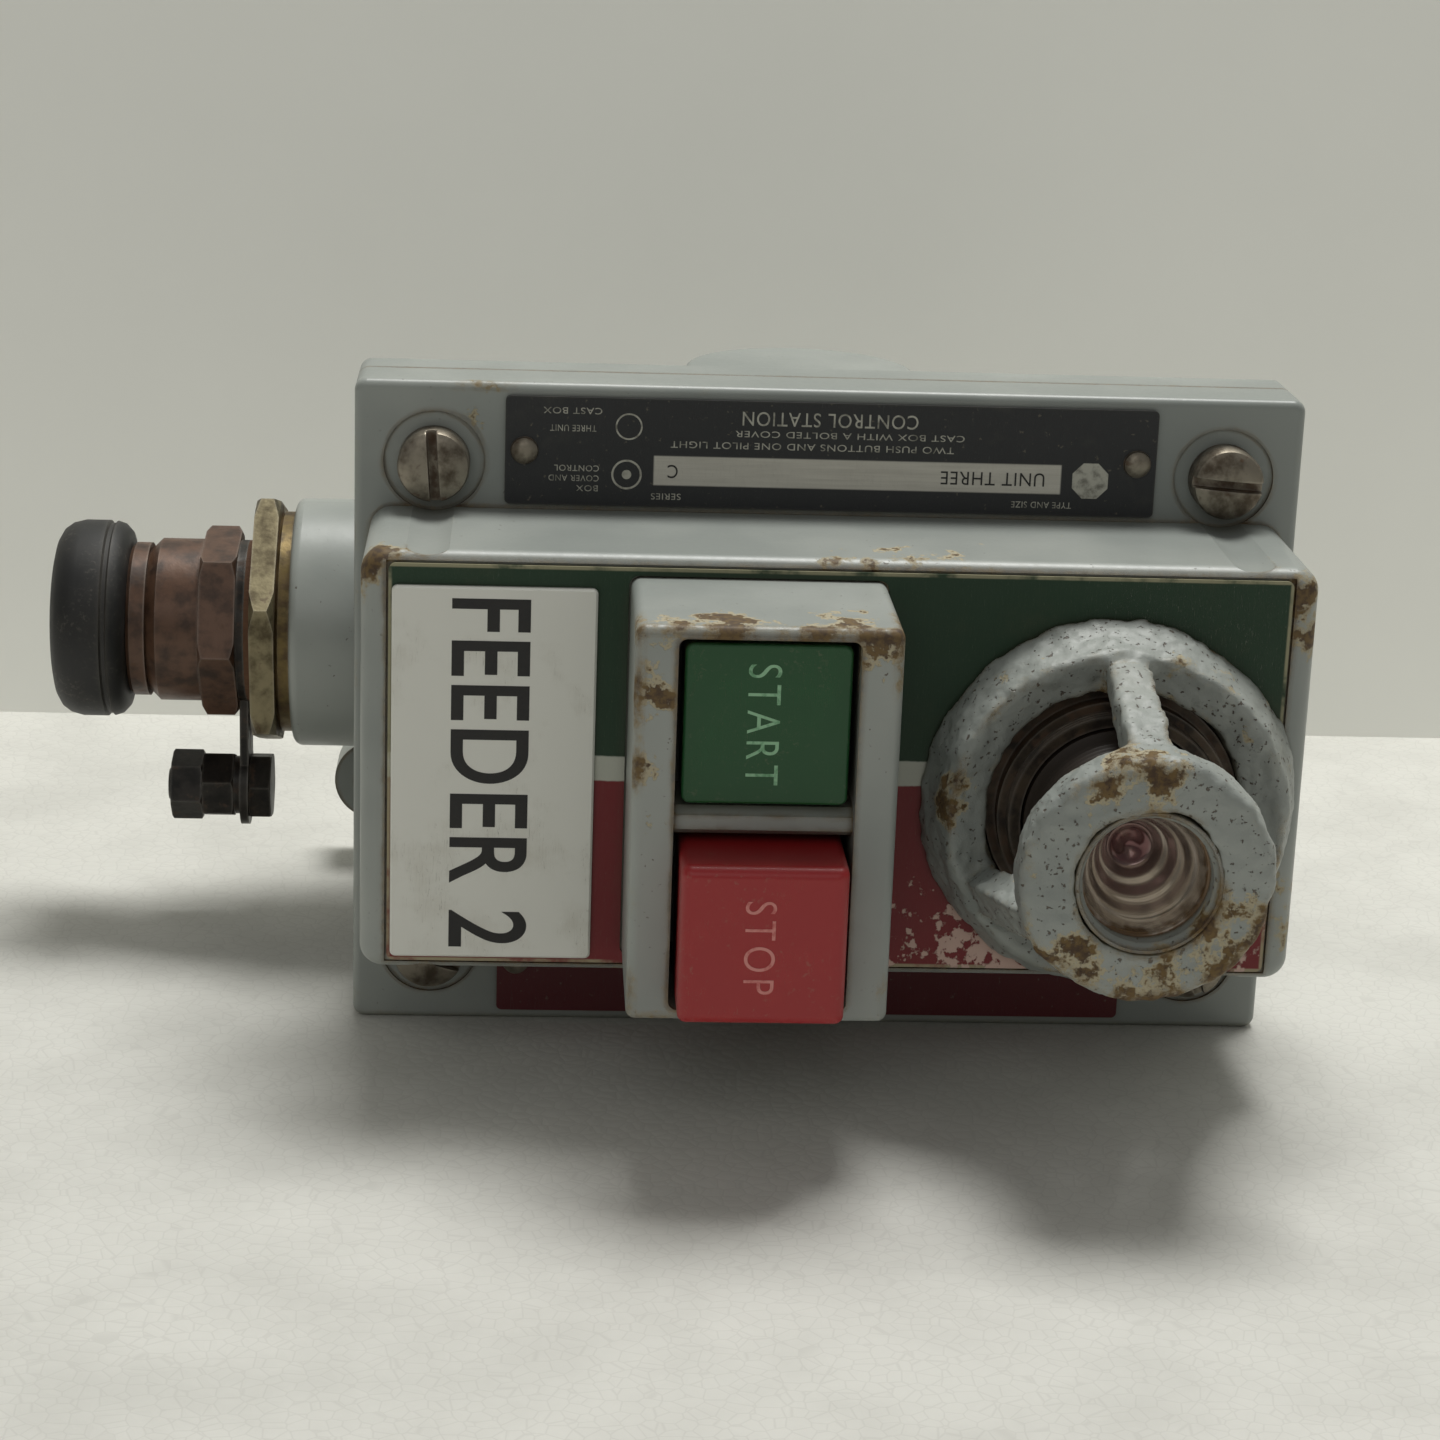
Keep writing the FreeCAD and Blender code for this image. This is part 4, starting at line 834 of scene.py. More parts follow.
# %% The nameplates' finish
def plate_finish(name, base, rubbed, seed, bare=None):
    """A printed metal plate with rubbed edges, and a bare metal strip where asked."""
    f = Finish(name)
    rub = f.clouds(7 * MM, seed, 6.0)
    scratch = f.scratches(5 * MM, seed + 1, (0, math.radians(60), 0), 0.003)
    colour = f.mix(base, rubbed, f.step(rub + f.edges(0.6 * MM), 0.55, 0.85) * 0.6)
    specks = f.step(f.clouds(1.0 * MM, seed + 2, 3.0), 0.66, 0.74)
    colour = f.mix(colour, seen(120, 112, 96), specks * 0.5)
    colour = f.mix(colour, seen(110, 110, 108), scratch * 0.35)
    metal = 0.0
    if bare is not None:
        x0, x1, z0, z1 = bare
        soft = 0.15 * MM
        inside = (f.step(f.x, x0 - soft, x0 + soft) * (1 - f.step(f.x, x1 - soft, x1 + soft))
                  * f.step(f.z, z0 - soft, z0 + soft) * (1 - f.step(f.z, z1 - soft, z1 + soft)))
        grain = f.clouds(0.5 * MM, seed + 3, 2.0, (0.05, 1, 1))
        colour = f.mix(colour, f.mix(seen(214, 210, 200), seen(182, 178, 168), grain), inside)
        metal = inside * 0.35
    return f.surface({"Base Color": colour, "Roughness": 0.34 + rub * 0.25, "Metallic": metal},
                     rub * 0.3 - scratch * 0.3, 0.04 * MM)


STRIP = (-26.4 * MM, 34.2 * MM, 35.3 * MM, 39.7 * MM)
upper_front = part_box("upper_nameplate")[0].y
lower_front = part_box("lower_nameplate")[0].y
black_plate = plate_finish("black plate", seen(38, 39, 41), seen(74, 72, 66), 51, STRIP)
red_plate = plate_finish("dark red plate", seen(88, 22, 28), seen(100, 44, 44), 61)
coat_node(black_plate, "upper_nameplate")
coat_node(red_plate, "lower_nameplate")
print("bare strip", round((STRIP[1] - STRIP[0]) / MM, 1), "mm long")

# %% [markdown]
# ## Print on the plates
# The print is kept to plain words and rings. Its paint has faded in patches. Each line is given
# by its words, its middle and its size, all in millimetres, and a table of lines is easier to
# change than many calls.

# %% Print the words
PRINT_PROUD = 0.04 * MM


def plate_print(name, pale, dull, seed, fade, roughness):
    """Patchy printing paint; fade gives where pale turns to dull."""
    f = Finish(name)
    faded = f.clouds(1.5 * MM, seed, 4.0)
    mask = f.step(faded, *fade) if fade else faded
    return f.surface({"Base Color": f.mix(pale, dull, mask),
                      "Roughness": roughness + faded * 0.2}, faded, 0.02 * MM)


def plate_lines(front, *rows):
    return [dict(words=words, centre=Vector((x * MM, front, z * MM)), length=length * MM,
                 height=height * MM, directions=READ_UPSIDE_DOWN, proud=PRINT_PROUD, spacing=1.1)
            for words, x, z, length, height in rows]


pale_print = plate_print("plate print", seen(188, 186, 174), seen(120, 118, 108), 55,
                         (0.42, 0.7), 0.5)
upper_lines = plate_lines(
    upper_front,
    ("CONTROL STATION", -0.5, 45.6, 26.0, 2.1),
    ("CAST BOX WITH A BOLTED COVER", 2.5, 43.3, 34.0, 0.95),
    ("TWO PUSH BUTTONS AND ONE PILOT LIGHT", -3.0, 41.5, 42.0, 1.0),
    ("TYPE AND SIZE", 31.5, 33.6, 9.0, 0.95),
    ("SERIES", -24.5, 33.6, 4.4, 0.95),
    ("THREE UNIT", -38.4, 43.6, 6.8, 0.95),
    ("CONTROL", -37.8, 37.6, 6.6, 0.9),
    ("COVER AND", -38.2, 36.1, 7.4, 0.9),
    ("BOX", -36.2, 34.6, 3.2, 0.9),
    ("CAST BOX", -38.5, 46.2, 8.6, 0.95))
strip_lines = plate_lines(
    upper_front,
    ("UNIT THREE", 24.0, 37.4, 15.5, 2.0),
    ("C", -23.6, 37.4, 1.5, 2.0))
lettering("upper_plate_print", upper_lines, "enclosure", "black_plate", pale_print)
lettering("strip_stamping", strip_lines, "enclosure", "black_plate", black_core)

# %% [markdown]
# ## Rings on the upper plate
# Two plain rings and an octagon fill the plate's ends. A ring is a flat annulus made from two
# circles of corners, and a disc is a ring whose inner circle is one point.

# %% Print the rings
def flat_shape(shape, x, z, inner, outer, sides, turn=0.0):
    """Adds a flat ring, or a disc where inner is 0, a little proud of the upper plate."""
    centre = Vector((x * MM, upper_front - PRINT_PROUD, z * MM))
    loops = []
    for radius in (inner * MM, outer * MM):
        loop = []
        for k in range(sides if radius > 0 else 1):
            a = turn + 2 * math.pi * k / sides
            around = Vector((math.cos(a) * radius, 0, math.sin(a) * radius))
            loop.append(shape.verts.new(centre + around))
        loops.append(loop)
    near, far = loops
    for k in range(sides):
        after = (k + 1) % sides
        corners = [near[k % len(near)], far[k], far[after], near[after % len(near)]]
        ring_face = shape.faces.new(list(dict.fromkeys(corners)))
        ring_face.normal_update()
        if ring_face.normal.y > 0:
            ring_face.normal_flip()


rings = bmesh.new()
flat_shape(rings, -30.2, 44.0, 1.75, 2.0, 40)
flat_shape(rings, -30.4, 36.8, 1.95, 2.25, 40)
flat_shape(rings, -30.4, 36.8, 0, 0.7, 40)
flat_shape(rings, 38.6, 37.4, 0, 2.9, 8, math.pi / 8)
ring_mesh = mesh_from(rings, "rings")
ring_mesh.materials.append(pale_print)
finished(ring_mesh, "upper_plate_rings", "enclosure", "black_plate")

# %% [markdown]
# ## Words on the lower plate
# The lower plate's print has nearly gone, so its paint is a dull pink that is patchy all over.

# %% Print the lower plate
dull_print = plate_print("red plate print", seen(176, 120, 118), seen(120, 60, 62), 65,
                         None, 0.55)
lower_lines = plate_lines(
    lower_front,
    ("PUSH BUTTON AND LIGHT", 24.0, -36.4, 30.0, 1.6),
    ("TWO BUTTONS AND ONE LIGHT", 24.0, -39.6, 30.0, 1.1),
    ("ONE CABLE OPENING", -14.0, -36.4, 30.0, 1.1),
    ("MADE OF CAST ALLOY", -14.0, -39.6, 22.0, 1.1))
lettering("lower_plate_print", lower_lines, "enclosure", "red_plate", dull_print)

# %% [markdown]
# ## Slotted screws and rivets
# Four fillister screws hold the cover, each stopped with its slot at its own angle, and four
# small rivets hold the plates. One head of each kind is turned on the lathe and, for the screw, a
# slot is cut with a Boolean and its edges are eased with a Bevel. A tree then sets a copy on
# every point, turned by an attribute that the point carries.

# %% The fixings recipe
fixings = Recipe("fixings on points", [
    ("Fixing", "Object"), ("Size", "Float"), ("Finish", "Material")])
copied = fixings.node("GeometryNodeObjectInfo", {}, {
    "Object": fixings.given["Fixing"]}, "Geometry")
turn = fixings.node("GeometryNodeInputNamedAttribute", {"data_type": "FLOAT"}, {"Name": "turn"})
spin = fixings.node("ShaderNodeCombineXYZ", {}, {"Y": turn})
placed = fixings.node("GeometryNodeInstanceOnPoints", {}, {
    "Points": fixings.given["Geometry"], "Instance": copied, "Rotation": spin,
    "Scale": fixings.given["Size"]})
fixings.end(placed)


def set_fixings(master, boxes, turns, finish):
    """A copy of the master at the front of each box, turned about its own axis, as one mesh."""
    places = [Vector((middle(box).x, box[0].y, middle(box).z)) for box in boxes]
    points = bpy.data.meshes.new("places")
    points.from_pydata([tuple(p) for p in places], [], [])
    points.attributes.new("turn", "FLOAT", "POINT").data.foreach_set("value", turns)
    tool = bpy.data.objects.new("master", master)
    scene.collection.objects.link(tool)
    mesh = fixings.grow(points, {"Fixing": tool, "Size": 1.0, "Finish": finish})
    bpy.data.objects.remove(tool)
    shade(mesh)
    return mesh


print("the fixings recipe has", len(fixings.tree.nodes), "nodes")

# %% [markdown]
# ## Metal that has dulled
# Screws, rivets, the gland and the brass inside share one recipe: two tones in patches, brown
# where damp has sat, and bright edges where a tool or a hand has rubbed.

# %% The worn metal recipe
def worn_metal(name, base, dark, seed, metallic=0.85, rust=0.4, grain_size=0.8 * MM):
    """Bare or plated metal that has dulled: dark patches, rubbed edges and specks of brown."""
    f = Finish(name)
    patch = f.clouds(4 * MM, seed, 6.0)
    grain = f.clouds(grain_size, seed + 1, 3.0)
    edge = f.step(f.edges(0.7 * MM), 0.03, 0.2)
    brown = f.step(f.clouds(2.2 * MM, seed + 2, 6.0) + f.corners(3 * MM) * 0.25, 0.58, 0.72)
    colour = f.mix(base, dark, f.step(patch, 0.38, 0.68))
    colour = f.mix(colour, seen(86, 60, 38), brown * rust)
    colour = f.mix(colour, f.mix(base, seen(235, 230, 220), 0.35), edge * 0.35)
    return f.surface({"Base Color": colour, "Metallic": metallic - brown * 0.5,
                      "Roughness": 0.30 + patch * 0.28 + brown * 0.25},
                     grain * 0.6 + patch * 0.5, 0.05 * MM)


screw_metal = worn_metal("worn screw steel", seen(150, 142, 128), seen(84, 74, 62), 71, 0.8, 0.75)
print("first metal:", screw_metal.name)

# %% [markdown]
# ## One slotted screw
# The head's outline is domed at its front and straight down its side, and its radius comes from
# the measured boxes. The slot is a box taken away, because a saw cuts it the same way.

# %% Turn and slot a screw
screw_low, screw_high = cover_screw_boxes[0]
HEAD_R = (screw_high.x - screw_low.x) / 2
HEAD_H = 6.0 * MM
SHANK_R = 3.0 * MM
SLOT_W = 1.5 * MM
SLOT_DEPTH = 2.4 * MM
screw_length = screw_high.y - screw_low.y
head = lathe("screw head", Vector(), "-Y", [
    (0, 0), (HEAD_R * 0.35, -0.06 * MM), (HEAD_R * 0.62, -0.24 * MM), (HEAD_R * 0.82, -0.52 * MM),
    (HEAD_R * 0.95, -0.95 * MM), (HEAD_R, -1.5 * MM), (HEAD_R, -HEAD_H + 0.3 * MM),
    (HEAD_R - 0.3 * MM, -HEAD_H), (SHANK_R, -HEAD_H), (SHANK_R, 0.5 * MM - screw_length),
    (SHANK_R - 0.5 * MM, -screw_length), (0, -screw_length)], 64)
head_thing = bpy.data.objects.new("head", head)
scene.collection.objects.link(head_thing)
cutter_shape = bmesh.new()
saw = Matrix.Diagonal((HEAD_R * 3, SLOT_DEPTH * 2, SLOT_W, 1))
bmesh.ops.create_cube(cutter_shape, size=1.0, matrix=saw)
cutter = bpy.data.objects.new("cutter", mesh_from(cutter_shape, "cutter"))
scene.collection.objects.link(cutter)
boolean = head_thing.modifiers.new("slot", "BOOLEAN")
boolean.object = cutter
boolean.solver = "EXACT"
bevel = head_thing.modifiers.new("eased", "BEVEL")
bevel.width = 0.14 * MM
bevel.segments = 2
bevel.limit_method = "ANGLE"
bevel.angle_limit = math.radians(40)
slotted = evaluated_mesh(head_thing)
bpy.data.objects.remove(cutter)
print("slotted head", round(2 * HEAD_R / MM, 1), "mm across with", len(slotted.polygons), "faces")

# %% [markdown]
# ## Set the screws and rivets
# No two slots stop at the same angle. The rivets are plain domed pins, turned a little from each
# other so that their wear differs.

# %% Set them
slot_turns = [math.radians(a) for a in (20, 86, 70, 4)]
finished(set_fixings(slotted, cover_screw_boxes, slot_turns, screw_metal),
         "cover_screw_set", "enclosure", "worn_steel", "cover_screws")

rivet_low, rivet_high = rivet_boxes[0]
RIVET_R = (rivet_high.x - rivet_low.x) / 2
RIVET_H = 1.2 * MM
PIN_R = 1.2 * MM
RIVET_TURNS = [0.0, 0.7, 1.9, 2.6]
rivet_end = rivet_high.y - rivet_low.y
rivet = lathe("rivet", Vector(), "-Y", [
    (0, 0), (RIVET_R * 0.4, -0.05 * MM), (RIVET_R * 0.7, -0.22 * MM), (RIVET_R * 0.92, -0.6 * MM),
    (RIVET_R, -RIVET_H), (PIN_R, -RIVET_H), (PIN_R, -rivet_end), (0, -rivet_end)], 40)
finished(set_fixings(rivet, rivet_boxes, RIVET_TURNS, screw_metal),
         "plate_rivet_set", "enclosure", "worn_steel", "plate_rivets")

# %% [markdown]
# ## The lens and its holder
# The lens is one piece of pressed glass: a ridged barrel that shows dark brown between the
# guard's arms, and a stepped bowl in its nose that bends the lamp's light outwards. Both are one
# turned outline, softened step by step. True glass would need its lamp lit and many light
# bounces, so the bowl is given a silvery, coated surface that changes away from its axis.

# %% Draw the lens's outline
nose_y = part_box("pilot_lens")[0].y
heart = Vector((pilot.x, nose_y, pilot.z))
nose_h = (face_y - nose_y) / MM
NOSE_R = 11.2
FLANGE_R = 15.25
NECK_R = 13.4
BARREL_R = 12.4
RIDGE_DEPTH = 0.28
RIDGES = 9
RIDGE_STEPS = 6
BOWL = [(8.75, 0.0), (7.45, 3.0), (6.05, 6.5), (4.6, 10.0), (3.0, 12.6), (0.0, 13.4)]
bowl = [(r, -d) for r, d in eased(BOWL, 6)]
barrel = []
for k in range(RIDGES * RIDGE_STEPS + 1):
    h = 10.0 + 13.0 * k / (RIDGES * RIDGE_STEPS)
    barrel.append((BARREL_R + RIDGE_DEPTH * math.cos(2 * math.pi * k / RIDGE_STEPS), h - nose_h))
outline = ([(7.5, -4.0 - nose_h), (FLANGE_R, -4.0 - nose_h), (FLANGE_R, -1.0 - nose_h),
            (NECK_R, -1.0 - nose_h), (NECK_R, 9.4 - nose_h)] + barrel
           + [(NOSE_R, 24.6 - nose_h), (NOSE_R, -0.4), (10.9, -0.1), (9.3, 0.0)] + bowl
           + [(0.0, 13.5 - nose_h), (6.0, 13.5 - nose_h), (7.5, 11.5 - nose_h)])
closed = [(r * MM, h * MM) for r, h in outline]
print("lens outline of", len(closed), "points, nose", round(nose_h, 1), "mm out")

# %% [markdown]
# ## Silver in the bowl
# The colour follows the distance from the lens's axis: a pinkish middle that is painted shade
# deep in the bowl, a silvery bowl, a brown ring where dirt collects at the rim, and a dark
# barrel.

# %% Turn and finish the lens
f = Finish("lens glass")
from_axis = f.node("ShaderNodeVectorMath", {"operation": "SUBTRACT"}, {0: f.place, 1: heart})
flat = f.node("ShaderNodeVectorMath", {"operation": "MULTIPLY"}, {0: from_axis, 1: (1, 0, 1)})
radius = f.node("ShaderNodeVectorMath", {"operation": "LENGTH"}, {0: flat}, "Value")
film = f.clouds(3 * MM, 81, 5.0)
# The pinkish middle is painted shade, deep in the bowl.
colour = f.mix(seen(104, 62, 62), seen(206, 198, 188), f.step(radius, 2.4 * MM, 4.6 * MM))
colour = f.mix(colour, seen(158, 142, 126), f.step(film, 0.48, 0.8) * 0.6)
ragged = radius + (film - 0.5) * 3 * MM
colour = f.mix(colour, seen(104, 78, 48), f.step(ragged, 7.6 * MM, 8.8 * MM))
colour = f.mix(colour, seen(48, 38, 31), f.step(radius, 9.4 * MM, 10.0 * MM))
silver = 1 - f.step(radius, 8.0 * MM, 9.4 * MM)
lens_paint = f.surface({"Base Color": colour, "Metallic": silver * 0.85,
                        "Roughness": 0.42 - silver * 0.28 + film * 0.1,
                        "Coat Weight": silver, "Coat Roughness": 0.06}, film * 0.3, 0.02 * MM)
lens_mesh = lathe("lens", heart, "-Y", closed, 120)
lens_mesh.materials.append(lens_paint)
shade(lens_mesh, math.radians(48))
finished(lens_mesh, "lens_turned", "enclosure", "lens_glass", "pilot_lens")

# %% [markdown]
# ## Thread ridges
# The brass holder round the lens is threaded outside and has gone nearly black. Ridges repeat at
# an even pitch, so a tree lays one circle per ridge along a line and sweeps a small round section
# round each. The plain steps of the CAD holder stay underneath and carry the ridges.

# %% The ridges recipe
ridges = Recipe("thread ridges", [("Radius", "Float"), ("Ridge", "Float"), ("Pitch", "Float"),
                                  ("Count", "Int"), ("Finish", "Material")])
step_vector = ridges.node("ShaderNodeCombineXYZ", {}, {"Y": ridges.given["Pitch"]})
line = ridges.node("GeometryNodeMeshLine", {"mode": "OFFSET"}, {
    "Count": ridges.given["Count"], "Offset": step_vector})
circle = ridges.node("GeometryNodeCurvePrimitiveCircle", {}, {
    "Resolution": 96, "Radius": ridges.given["Radius"]})
section = ridges.node("GeometryNodeCurvePrimitiveCircle", {}, {
    "Resolution": 8, "Radius": ridges.given["Ridge"]})
hoop = ridges.node("GeometryNodeCurveToMesh", {}, {"Curve": circle, "Profile Curve": section})
hoops = ridges.node("GeometryNodeInstanceOnPoints", {}, {
    "Points": line, "Instance": hoop, "Rotation": (math.pi / 2, 0, 0)})
ridges.end(hoops)
holder_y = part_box("pilot_holder")[0].y
dark_thread = worn_metal("blackened thread", seen(84, 72, 60), seen(40, 34, 30), 91, 0.5, 0.6)
coat_node(dark_thread, "pilot_holder", "pilot_locknut")
hoop_mesh = ridges.grow(bpy.data.meshes.new("none"), {
    "Radius": 15.3 * MM, "Ridge": 0.32 * MM, "Pitch": 0.9 * MM, "Count": 3,
    "Finish": dark_thread})
hoop_mesh.transform(Matrix.Translation(Vector((pilot.x, holder_y + 0.4 * MM, pilot.z))))
shade(hoop_mesh)
finished(hoop_mesh, "holder_thread", "enclosure", "dark_metal")

# %% [markdown]
# ## The cable gland and its plug
# From the box outwards come a brass-coloured collar, a nickelled hexagon, a fibre washer, the
# earth tag, and a brown, patinated gland. A black plug with a rounded rim closes it. The hexagons
# are right in the CAD model. The plug is turned again, with the fine groove and the shallow dish
# that such a moulding has, and it slides out with its own joint.

# %% Finish the gland
GLAND_METALS = [
    (("tarnished brass", seen(120, 102, 62), seen(70, 58, 38), 101, 0.6, 0.5), ("hub_collar",)),
    (("yellowed nickel", seen(138, 128, 100), seen(80, 70, 50), 103, 0.65, 0.6),
     ("gland_adapter",)),
    (("patinated brown", seen(98, 71, 55), seen(60, 44, 35), 105, 0.25, 0.5, 1.2 * MM),
     ("gland_body", "gland_ring")),
    (("blackened steel", seen(50, 46, 42), seen(26, 24, 22), 107, 0.45, 0.5),
     ("earth_tag", "tag_bolt", "tag_nuts", "tag_washer")),
]
for recipe, node_names in GLAND_METALS:
    coat_node(worn_metal(*recipe), *node_names)
f = Finish("red-brown fibre")
fibres = f.clouds(2 * MM, 111, 5.0, (1, 6, 1))
fibre = f.surface({"Base Color": f.mix(seen(120, 84, 58), seen(84, 56, 40), fibres),
                   "Roughness": 0.7 + fibres * 0.2}, fibres, 0.08 * MM)
coat_node(fibre, "fibre_washer")
print(len(GLAND_METALS), "metals and one fibre on the gland")

# %% [markdown]
# ## Dusty rubber
# Rubber and black moulding powder look alike once old: nearly matt, with grey dust on top and
# pale rubs along the edges.

# %% The rubber recipe
def dusty_rubber(name, seed):
    """Black rubber or phenolic: nearly matt, with dust on it and grey rubs along its edges."""
    f = Finish(name)
    bloom = f.clouds(8 * MM, seed, 5.0)
    dust = (f.step(f.clouds(0.7 * MM, seed + 1, 4.0), 0.52, 0.72)
            * f.step(bloom, 0.38, 0.7))
    rub = f.step(f.edges(1.2 * MM), 0.02, 0.18)
    colour = f.mix(seen(26, 26, 26), seen(54, 52, 49), f.step(bloom, 0.4, 0.75) * 0.6)
    colour = f.mix(colour, seen(120, 114, 104), larger(dust * 0.35, rub * 0.25))
    return f.surface({"Base Color": colour, "Roughness": 0.42 + bloom * 0.3},
                     bloom * 0.4 + dust * 0.3, 0.06 * MM)


rubber = dusty_rubber("dusty black rubber", 121)
coat_node(rubber, "gland_seal", "lens_gasket")
print("rubber on the seal and the gasket")

# %% [markdown]
# ## Turn the plug
# The plug's head is a rounded disc with a shallow dish at its end and a fine groove behind its
# rim, and its stem fills the gland. The largest radius and the length are the CAD plug's own.

# %% Turn the plug
plug_low, plug_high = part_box("blanking_plug")
plug_centre = Vector((plug_low.x, (plug_low.y + plug_high.y) / 2, (plug_low.z + plug_high.z) / 2))
PLUG_R = (plug_high.z - plug_low.z) / 2 / MM
PLUG_STEM_R = 6.95
plug_end = (plug_high.x - plug_low.x) / MM
plug_outline = [
    (0, 0.9), (9.0, 0.9), (10.0, 0.3), (11.7, 0.0), (13.2, 0.35), (14.6, 1.15), (15.5, 2.4),
    (PLUG_R, 4.3), (PLUG_R, 8.2), (PLUG_R - 0.45, 8.5), (PLUG_R - 0.45, 9.1), (PLUG_R - 0.1, 9.4),
    (PLUG_R - 0.5, 10.6), (PLUG_R - 1.6, 11.6), (13.0, 11.95), (PLUG_STEM_R, 11.95),
    (PLUG_STEM_R, plug_end - 1.0), (PLUG_STEM_R - 1.0, plug_end), (0, plug_end)]
plug_mesh = lathe("plug", plug_centre, "+X", [(r * MM, d * MM) for r, d in plug_outline], 128)
plug_mesh.materials.append(rubber)
shade(plug_mesh, math.radians(40))
finished(plug_mesh, "blanking_plug_turned", "plug", "black_rubber", "blanking_plug")

# %% [markdown]
# ## Coiled springs
# Four compression springs sit inside: one returns each button and one steadies each contact
# carrier. A tree winds a Spiral curve and sweeps round wire along it. A spring can't be moved by
# one body, because its ends belong to two, so each is left on the enclosure at its full length.

# %% The spring recipe
winding = Recipe("compression spring", [
    ("Coil Radius", "Float"), ("Wire Radius", "Float"), ("Length", "Float"), ("Turns", "Float"),
    ("Finish", "Material")])
spiral = winding.node("GeometryNodeCurveSpiral", {}, {
    "Resolution": 28, "Rotations": winding.given["Turns"],
    "Start Radius": winding.given["Coil Radius"], "End Radius": winding.given["Coil Radius"],
    "Height": winding.given["Length"]})
wire = winding.node("GeometryNodeCurvePrimitiveCircle", {}, {
    "Resolution": 10, "Radius": winding.given["Wire Radius"]})
coil = winding.node("GeometryNodeCurveToMesh", {}, {
    "Curve": spiral, "Profile Curve": wire, "Fill Caps": True})
winding.end(coil)
spring_wire = worn_metal("spring wire", seen(190, 190, 188), seen(130, 130, 128), 131, 0.95, 0.15)
print("the spring recipe has", len(winding.tree.nodes), "nodes")

# %% [markdown]
# ## Wind the four springs
# A return spring is of thicker wire and has more turns than a contact spring. Each fills the box
# of its CAD node.

# %% Wind them
TRAVEL = 4.0 * MM
SPRING_KINDS = (("return", 0.45 * MM, 5.5, "_press"), ("contact", 0.3 * MM, 3.5, "_contact_move"))
for name in ("start", "stop"):
    for kind, wire_r, turns, joint in SPRING_KINDS:
        node_name = name + "_" + kind + "_spring"
        low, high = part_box(node_name)
        length = high.y - low.y
        mesh = winding.grow(bpy.data.meshes.new("none"), {
            "Coil Radius": (high.x - low.x) / 2 - wire_r, "Wire Radius": wire_r,
            "Length": length - 2.2 * wire_r, "Turns": turns, "Finish": spring_wire})
        start = Vector(((low.x + high.x) / 2, low.y + 1.1 * wire_r, (low.z + high.z) / 2))
        mesh.transform(Matrix.Translation(start) @ Matrix.Rotation(-math.pi / 2, 4, "X"))
        shade(mesh)
        piece = finished(mesh, node_name + "_wound", "enclosure", "spring_steel", node_name)
        name + joint
        (length - TRAVEL) / length
        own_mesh(piece)

# %% [markdown]
# ## Everything inside
# The contact blocks, plungers, lamp and transformer only show when the cover is off, but the
# model is looked at from all sides and taken apart, so each has the finish of its real material.

# %% Finish the inner parts
phenolic = dusty_rubber("black phenolic", 141)
bright_brass = worn_metal("contact brass", seen(206, 176, 104), seen(168, 134, 72), 151, 0.9, 0.1)
small_steel = worn_metal("small steel", seen(186, 184, 178), seen(140, 136, 128), 161, 0.9, 0.2)
coat_node(phenolic, "lamp_socket", "pilot_transformer", "start_block_housing",
          "stop_block_housing", "start_block_back", "stop_block_back", "start_carrier",
          "stop_carrier")
coat_node(bright_brass, "lens_clamp_ring", "pilot_terminals", "start_bridge", "stop_bridge",
          "start_bushing", "stop_bushing", "start_fixed_contacts", "stop_fixed_contacts")
coat_node(small_steel, "bezel_screws", "block_screws", "terminal_screws", "ground_screw",
          "start_clip", "stop_clip", "start_plunger", "stop_plunger")
f = Finish("bulb glass")
haze = f.clouds(2 * MM, 171, 4.0)
bulb_glass = f.surface({"Base Color": f.mix(seen(224, 214, 190), seen(196, 184, 160), haze),
                        "Roughness": 0.08 + haze * 0.1, "Alpha": 0.45 + haze * 0.3,
                        "Coat Weight": 0.6}, haze * 0.2, 0.02 * MM)
coat_node(bulb_glass, "pilot_lamp")
hidden = {name for name, thing in nodes.items() if thing.hide_render}
print("nodes without a finish:", sorted(set(nodes) - fresh - hidden))

# %% [markdown]
# ## Studio
# The box stands on a sheet of pale foam board in front of a light grey wall. A large soft light
# hangs above and slightly behind, which lays soft shadows towards the viewer, and a weak one
# fills the front. Nothing here is part of the object, so it is marked as stage. The wall casts no
# shadow and shows from its front only, so that the back of the box can be looked at too.

# %% Floor and wall
FLOOR_Z = cad_box[0].z
WALL_Y = 78 * MM
WALL_TOP = 0.9
REACH = 1.6


def plane(name, corners, material):
    mesh = bpy.data.meshes.new(name)
    mesh.from_pydata(corners, [], [(0, 1, 2, 3)])
    mesh.materials.append(material)
    thing = bpy.data.objects.new(name, mesh)
    scene.collection.objects.link(thing)
    thing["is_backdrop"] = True
    return thing


f = Finish("foam board")
bead = f.node("ShaderNodeTexVoronoi", {"feature": "DISTANCE_TO_EDGE"},
              {"Vector": f.place, "Scale": 1 / (2.4 * MM)})
seam = 1 - f.step(bead, 0.0, 0.07)
mottle = f.clouds(30 * MM, 181, 4.0)
colour = f.mix(seen(220, 219, 213), seen(204, 203, 197), f.step(mottle, 0.35, 0.7) * 0.7)
colour = f.mix(colour, seen(178, 176, 170), seam * 0.22)
foam = f.surface({"Base Color": colour, "Roughness": 0.55 + mottle * 0.2}, bead * 0.8, 0.15 * MM)
f = Finish("painted wall")
rolled = f.clouds(60 * MM, 191, 4.0)
front = f.shader({"Base Color": f.mix(seen(216, 216, 209), seen(206, 206, 199), rolled),
                  "Emission Color": seen(176, 176, 169), "Emission Strength": 0.42,
                  "Roughness": 0.85 + rolled * 0.1}, rolled, 0.2 * MM)
clear = f.node("ShaderNodeBsdfTransparent", {}, {})
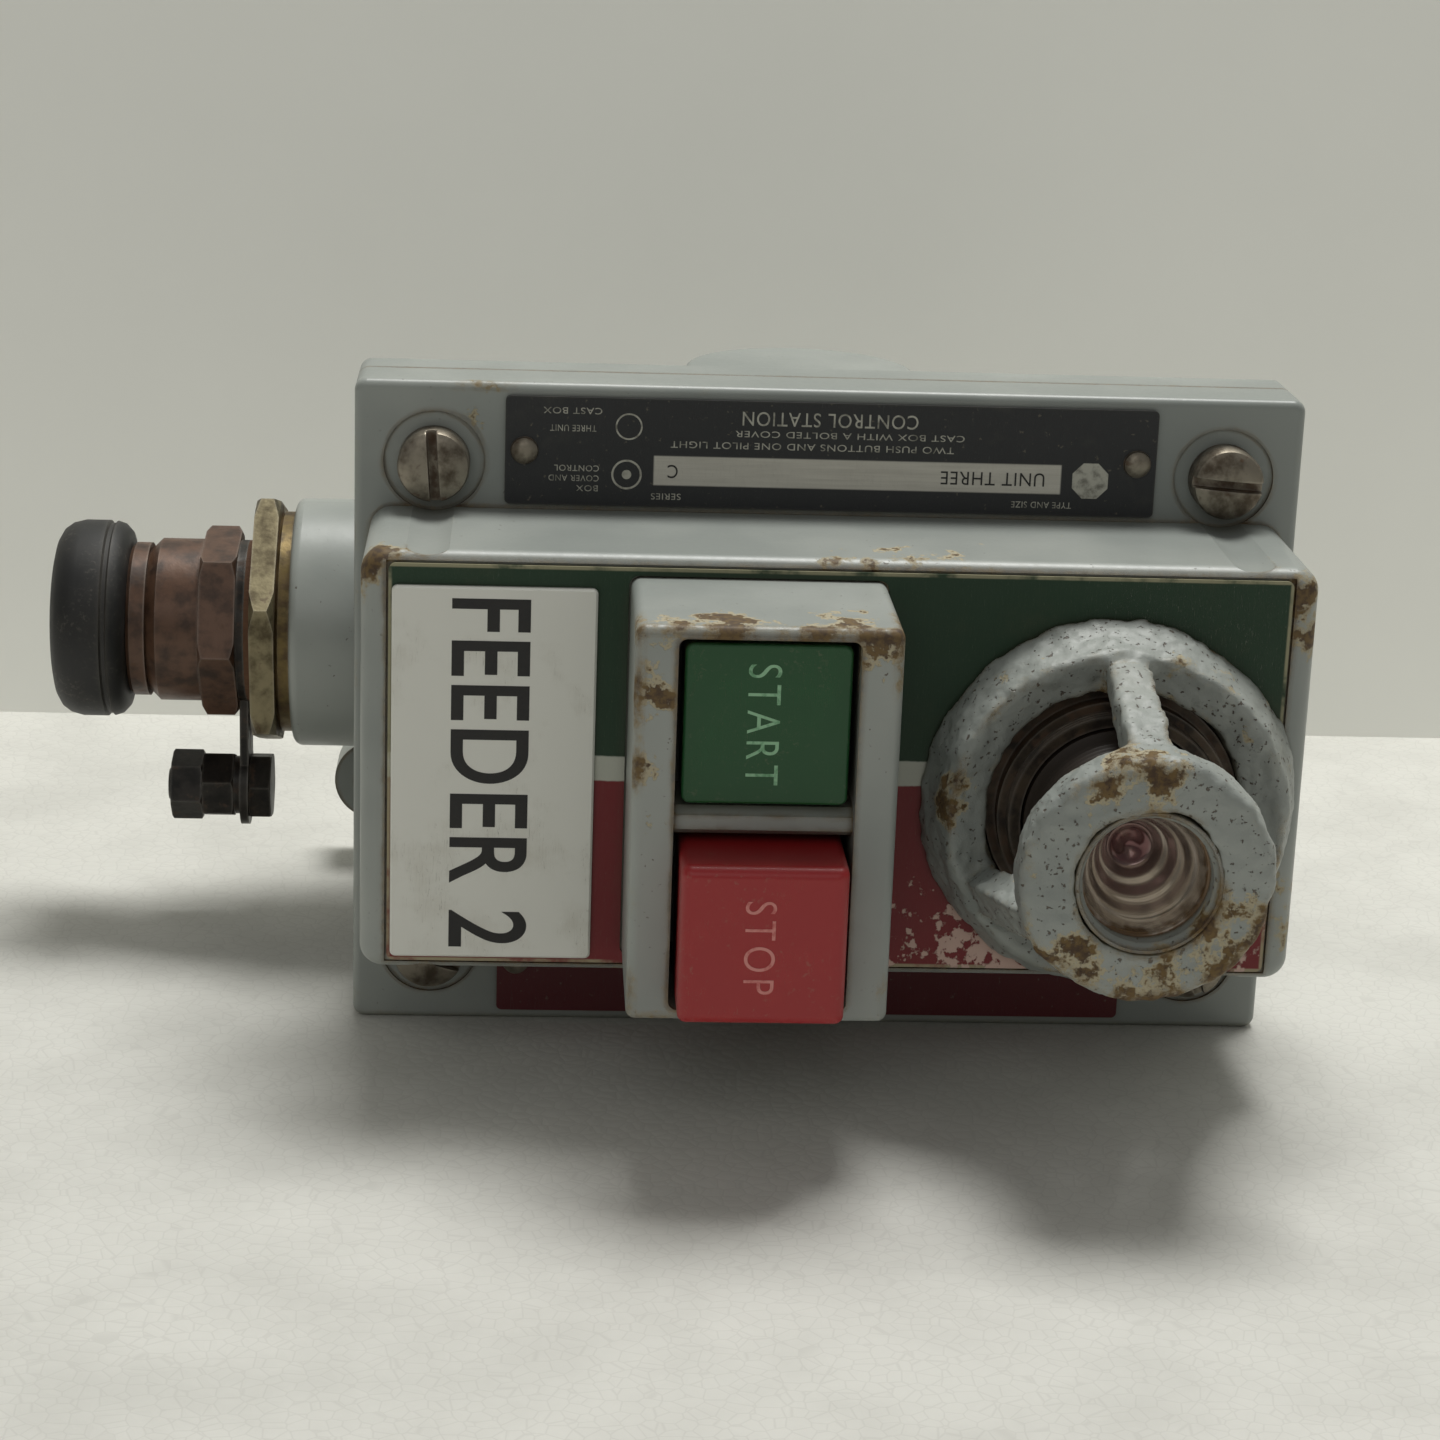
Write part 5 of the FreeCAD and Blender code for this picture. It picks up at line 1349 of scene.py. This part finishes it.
from_behind = f.node("ShaderNodeNewGeometry", {}, {}, "Backfacing")
wall_paint = f.end(f.node("ShaderNodeMixShader", {}, {0: from_behind, 1: front, 2: clear}))
plane("floor", [(-REACH, -REACH, FLOOR_Z), (REACH, -REACH, FLOOR_Z), (REACH, REACH, FLOOR_Z),
                (-REACH, REACH, FLOOR_Z)], foam)
wall = plane("wall", [(-REACH, WALL_Y, FLOOR_Z), (REACH, WALL_Y, FLOOR_Z),
                      (REACH, WALL_Y, WALL_TOP), (-REACH, WALL_Y, WALL_TOP)], wall_paint)
wall.visible_shadow = False
print("floor", 2 * REACH, "m across; wall at", round(WALL_Y / MM), "mm")

# %% [markdown]
# ## Lights
# Area lights give soft shadow edges, as a large window or a soft box does. A dim, slightly warm
# world fills what they leave, and the Standard view keeps the paint's colours as they were mixed.

# %% Lights and world
AIM = Vector((0.0, -0.08, 0.0))
DAYLIGHT = (1.0, 1.0, 0.97)
WORLD_COLOUR = (0.90, 0.90, 0.87, 1.0)
WORLD_STRENGTH = 0.2


def soft_light(name, place, size, watts):
    data = bpy.data.lights.new(name, "AREA")
    data.shape = "RECTANGLE"
    data.size, data.size_y = size
    data.energy = watts
    data.color = DAYLIGHT
    light = bpy.data.objects.new(name, data)
    light.location = place
    light.rotation_euler = (AIM - Vector(place)).to_track_quat("-Z", "Y").to_euler()
    scene.collection.objects.link(light)
    print(name, "light of", watts, "W")


soft_light("ceiling", (0.12, 0.22, 1.05), (0.50, 0.34), 10.4)
soft_light("front fill", (-0.25, -1.3, 0.75), (0.9, 0.7), 1.7)
world = bpy.data.worlds.new("room")
world.use_nodes = True
background = world.node_tree.nodes["Background"].inputs
background["Color"].default_value = WORLD_COLOUR
background["Strength"].default_value = WORLD_STRENGTH
scene.world = world
scene.view_settings.view_transform = "Standard"

# %% [markdown]
# ## Measure the size
# The box round the visual model is measured, and how much larger it is than the CAD model's box
# is printed.

# %% Measure both boxes
visual_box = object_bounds()
grown = (visual_box[1] - visual_box[0] - cad_box[1] + cad_box[0]) / MM
print("the visual model is larger by", [round(v, 2) for v in grown], "mm")
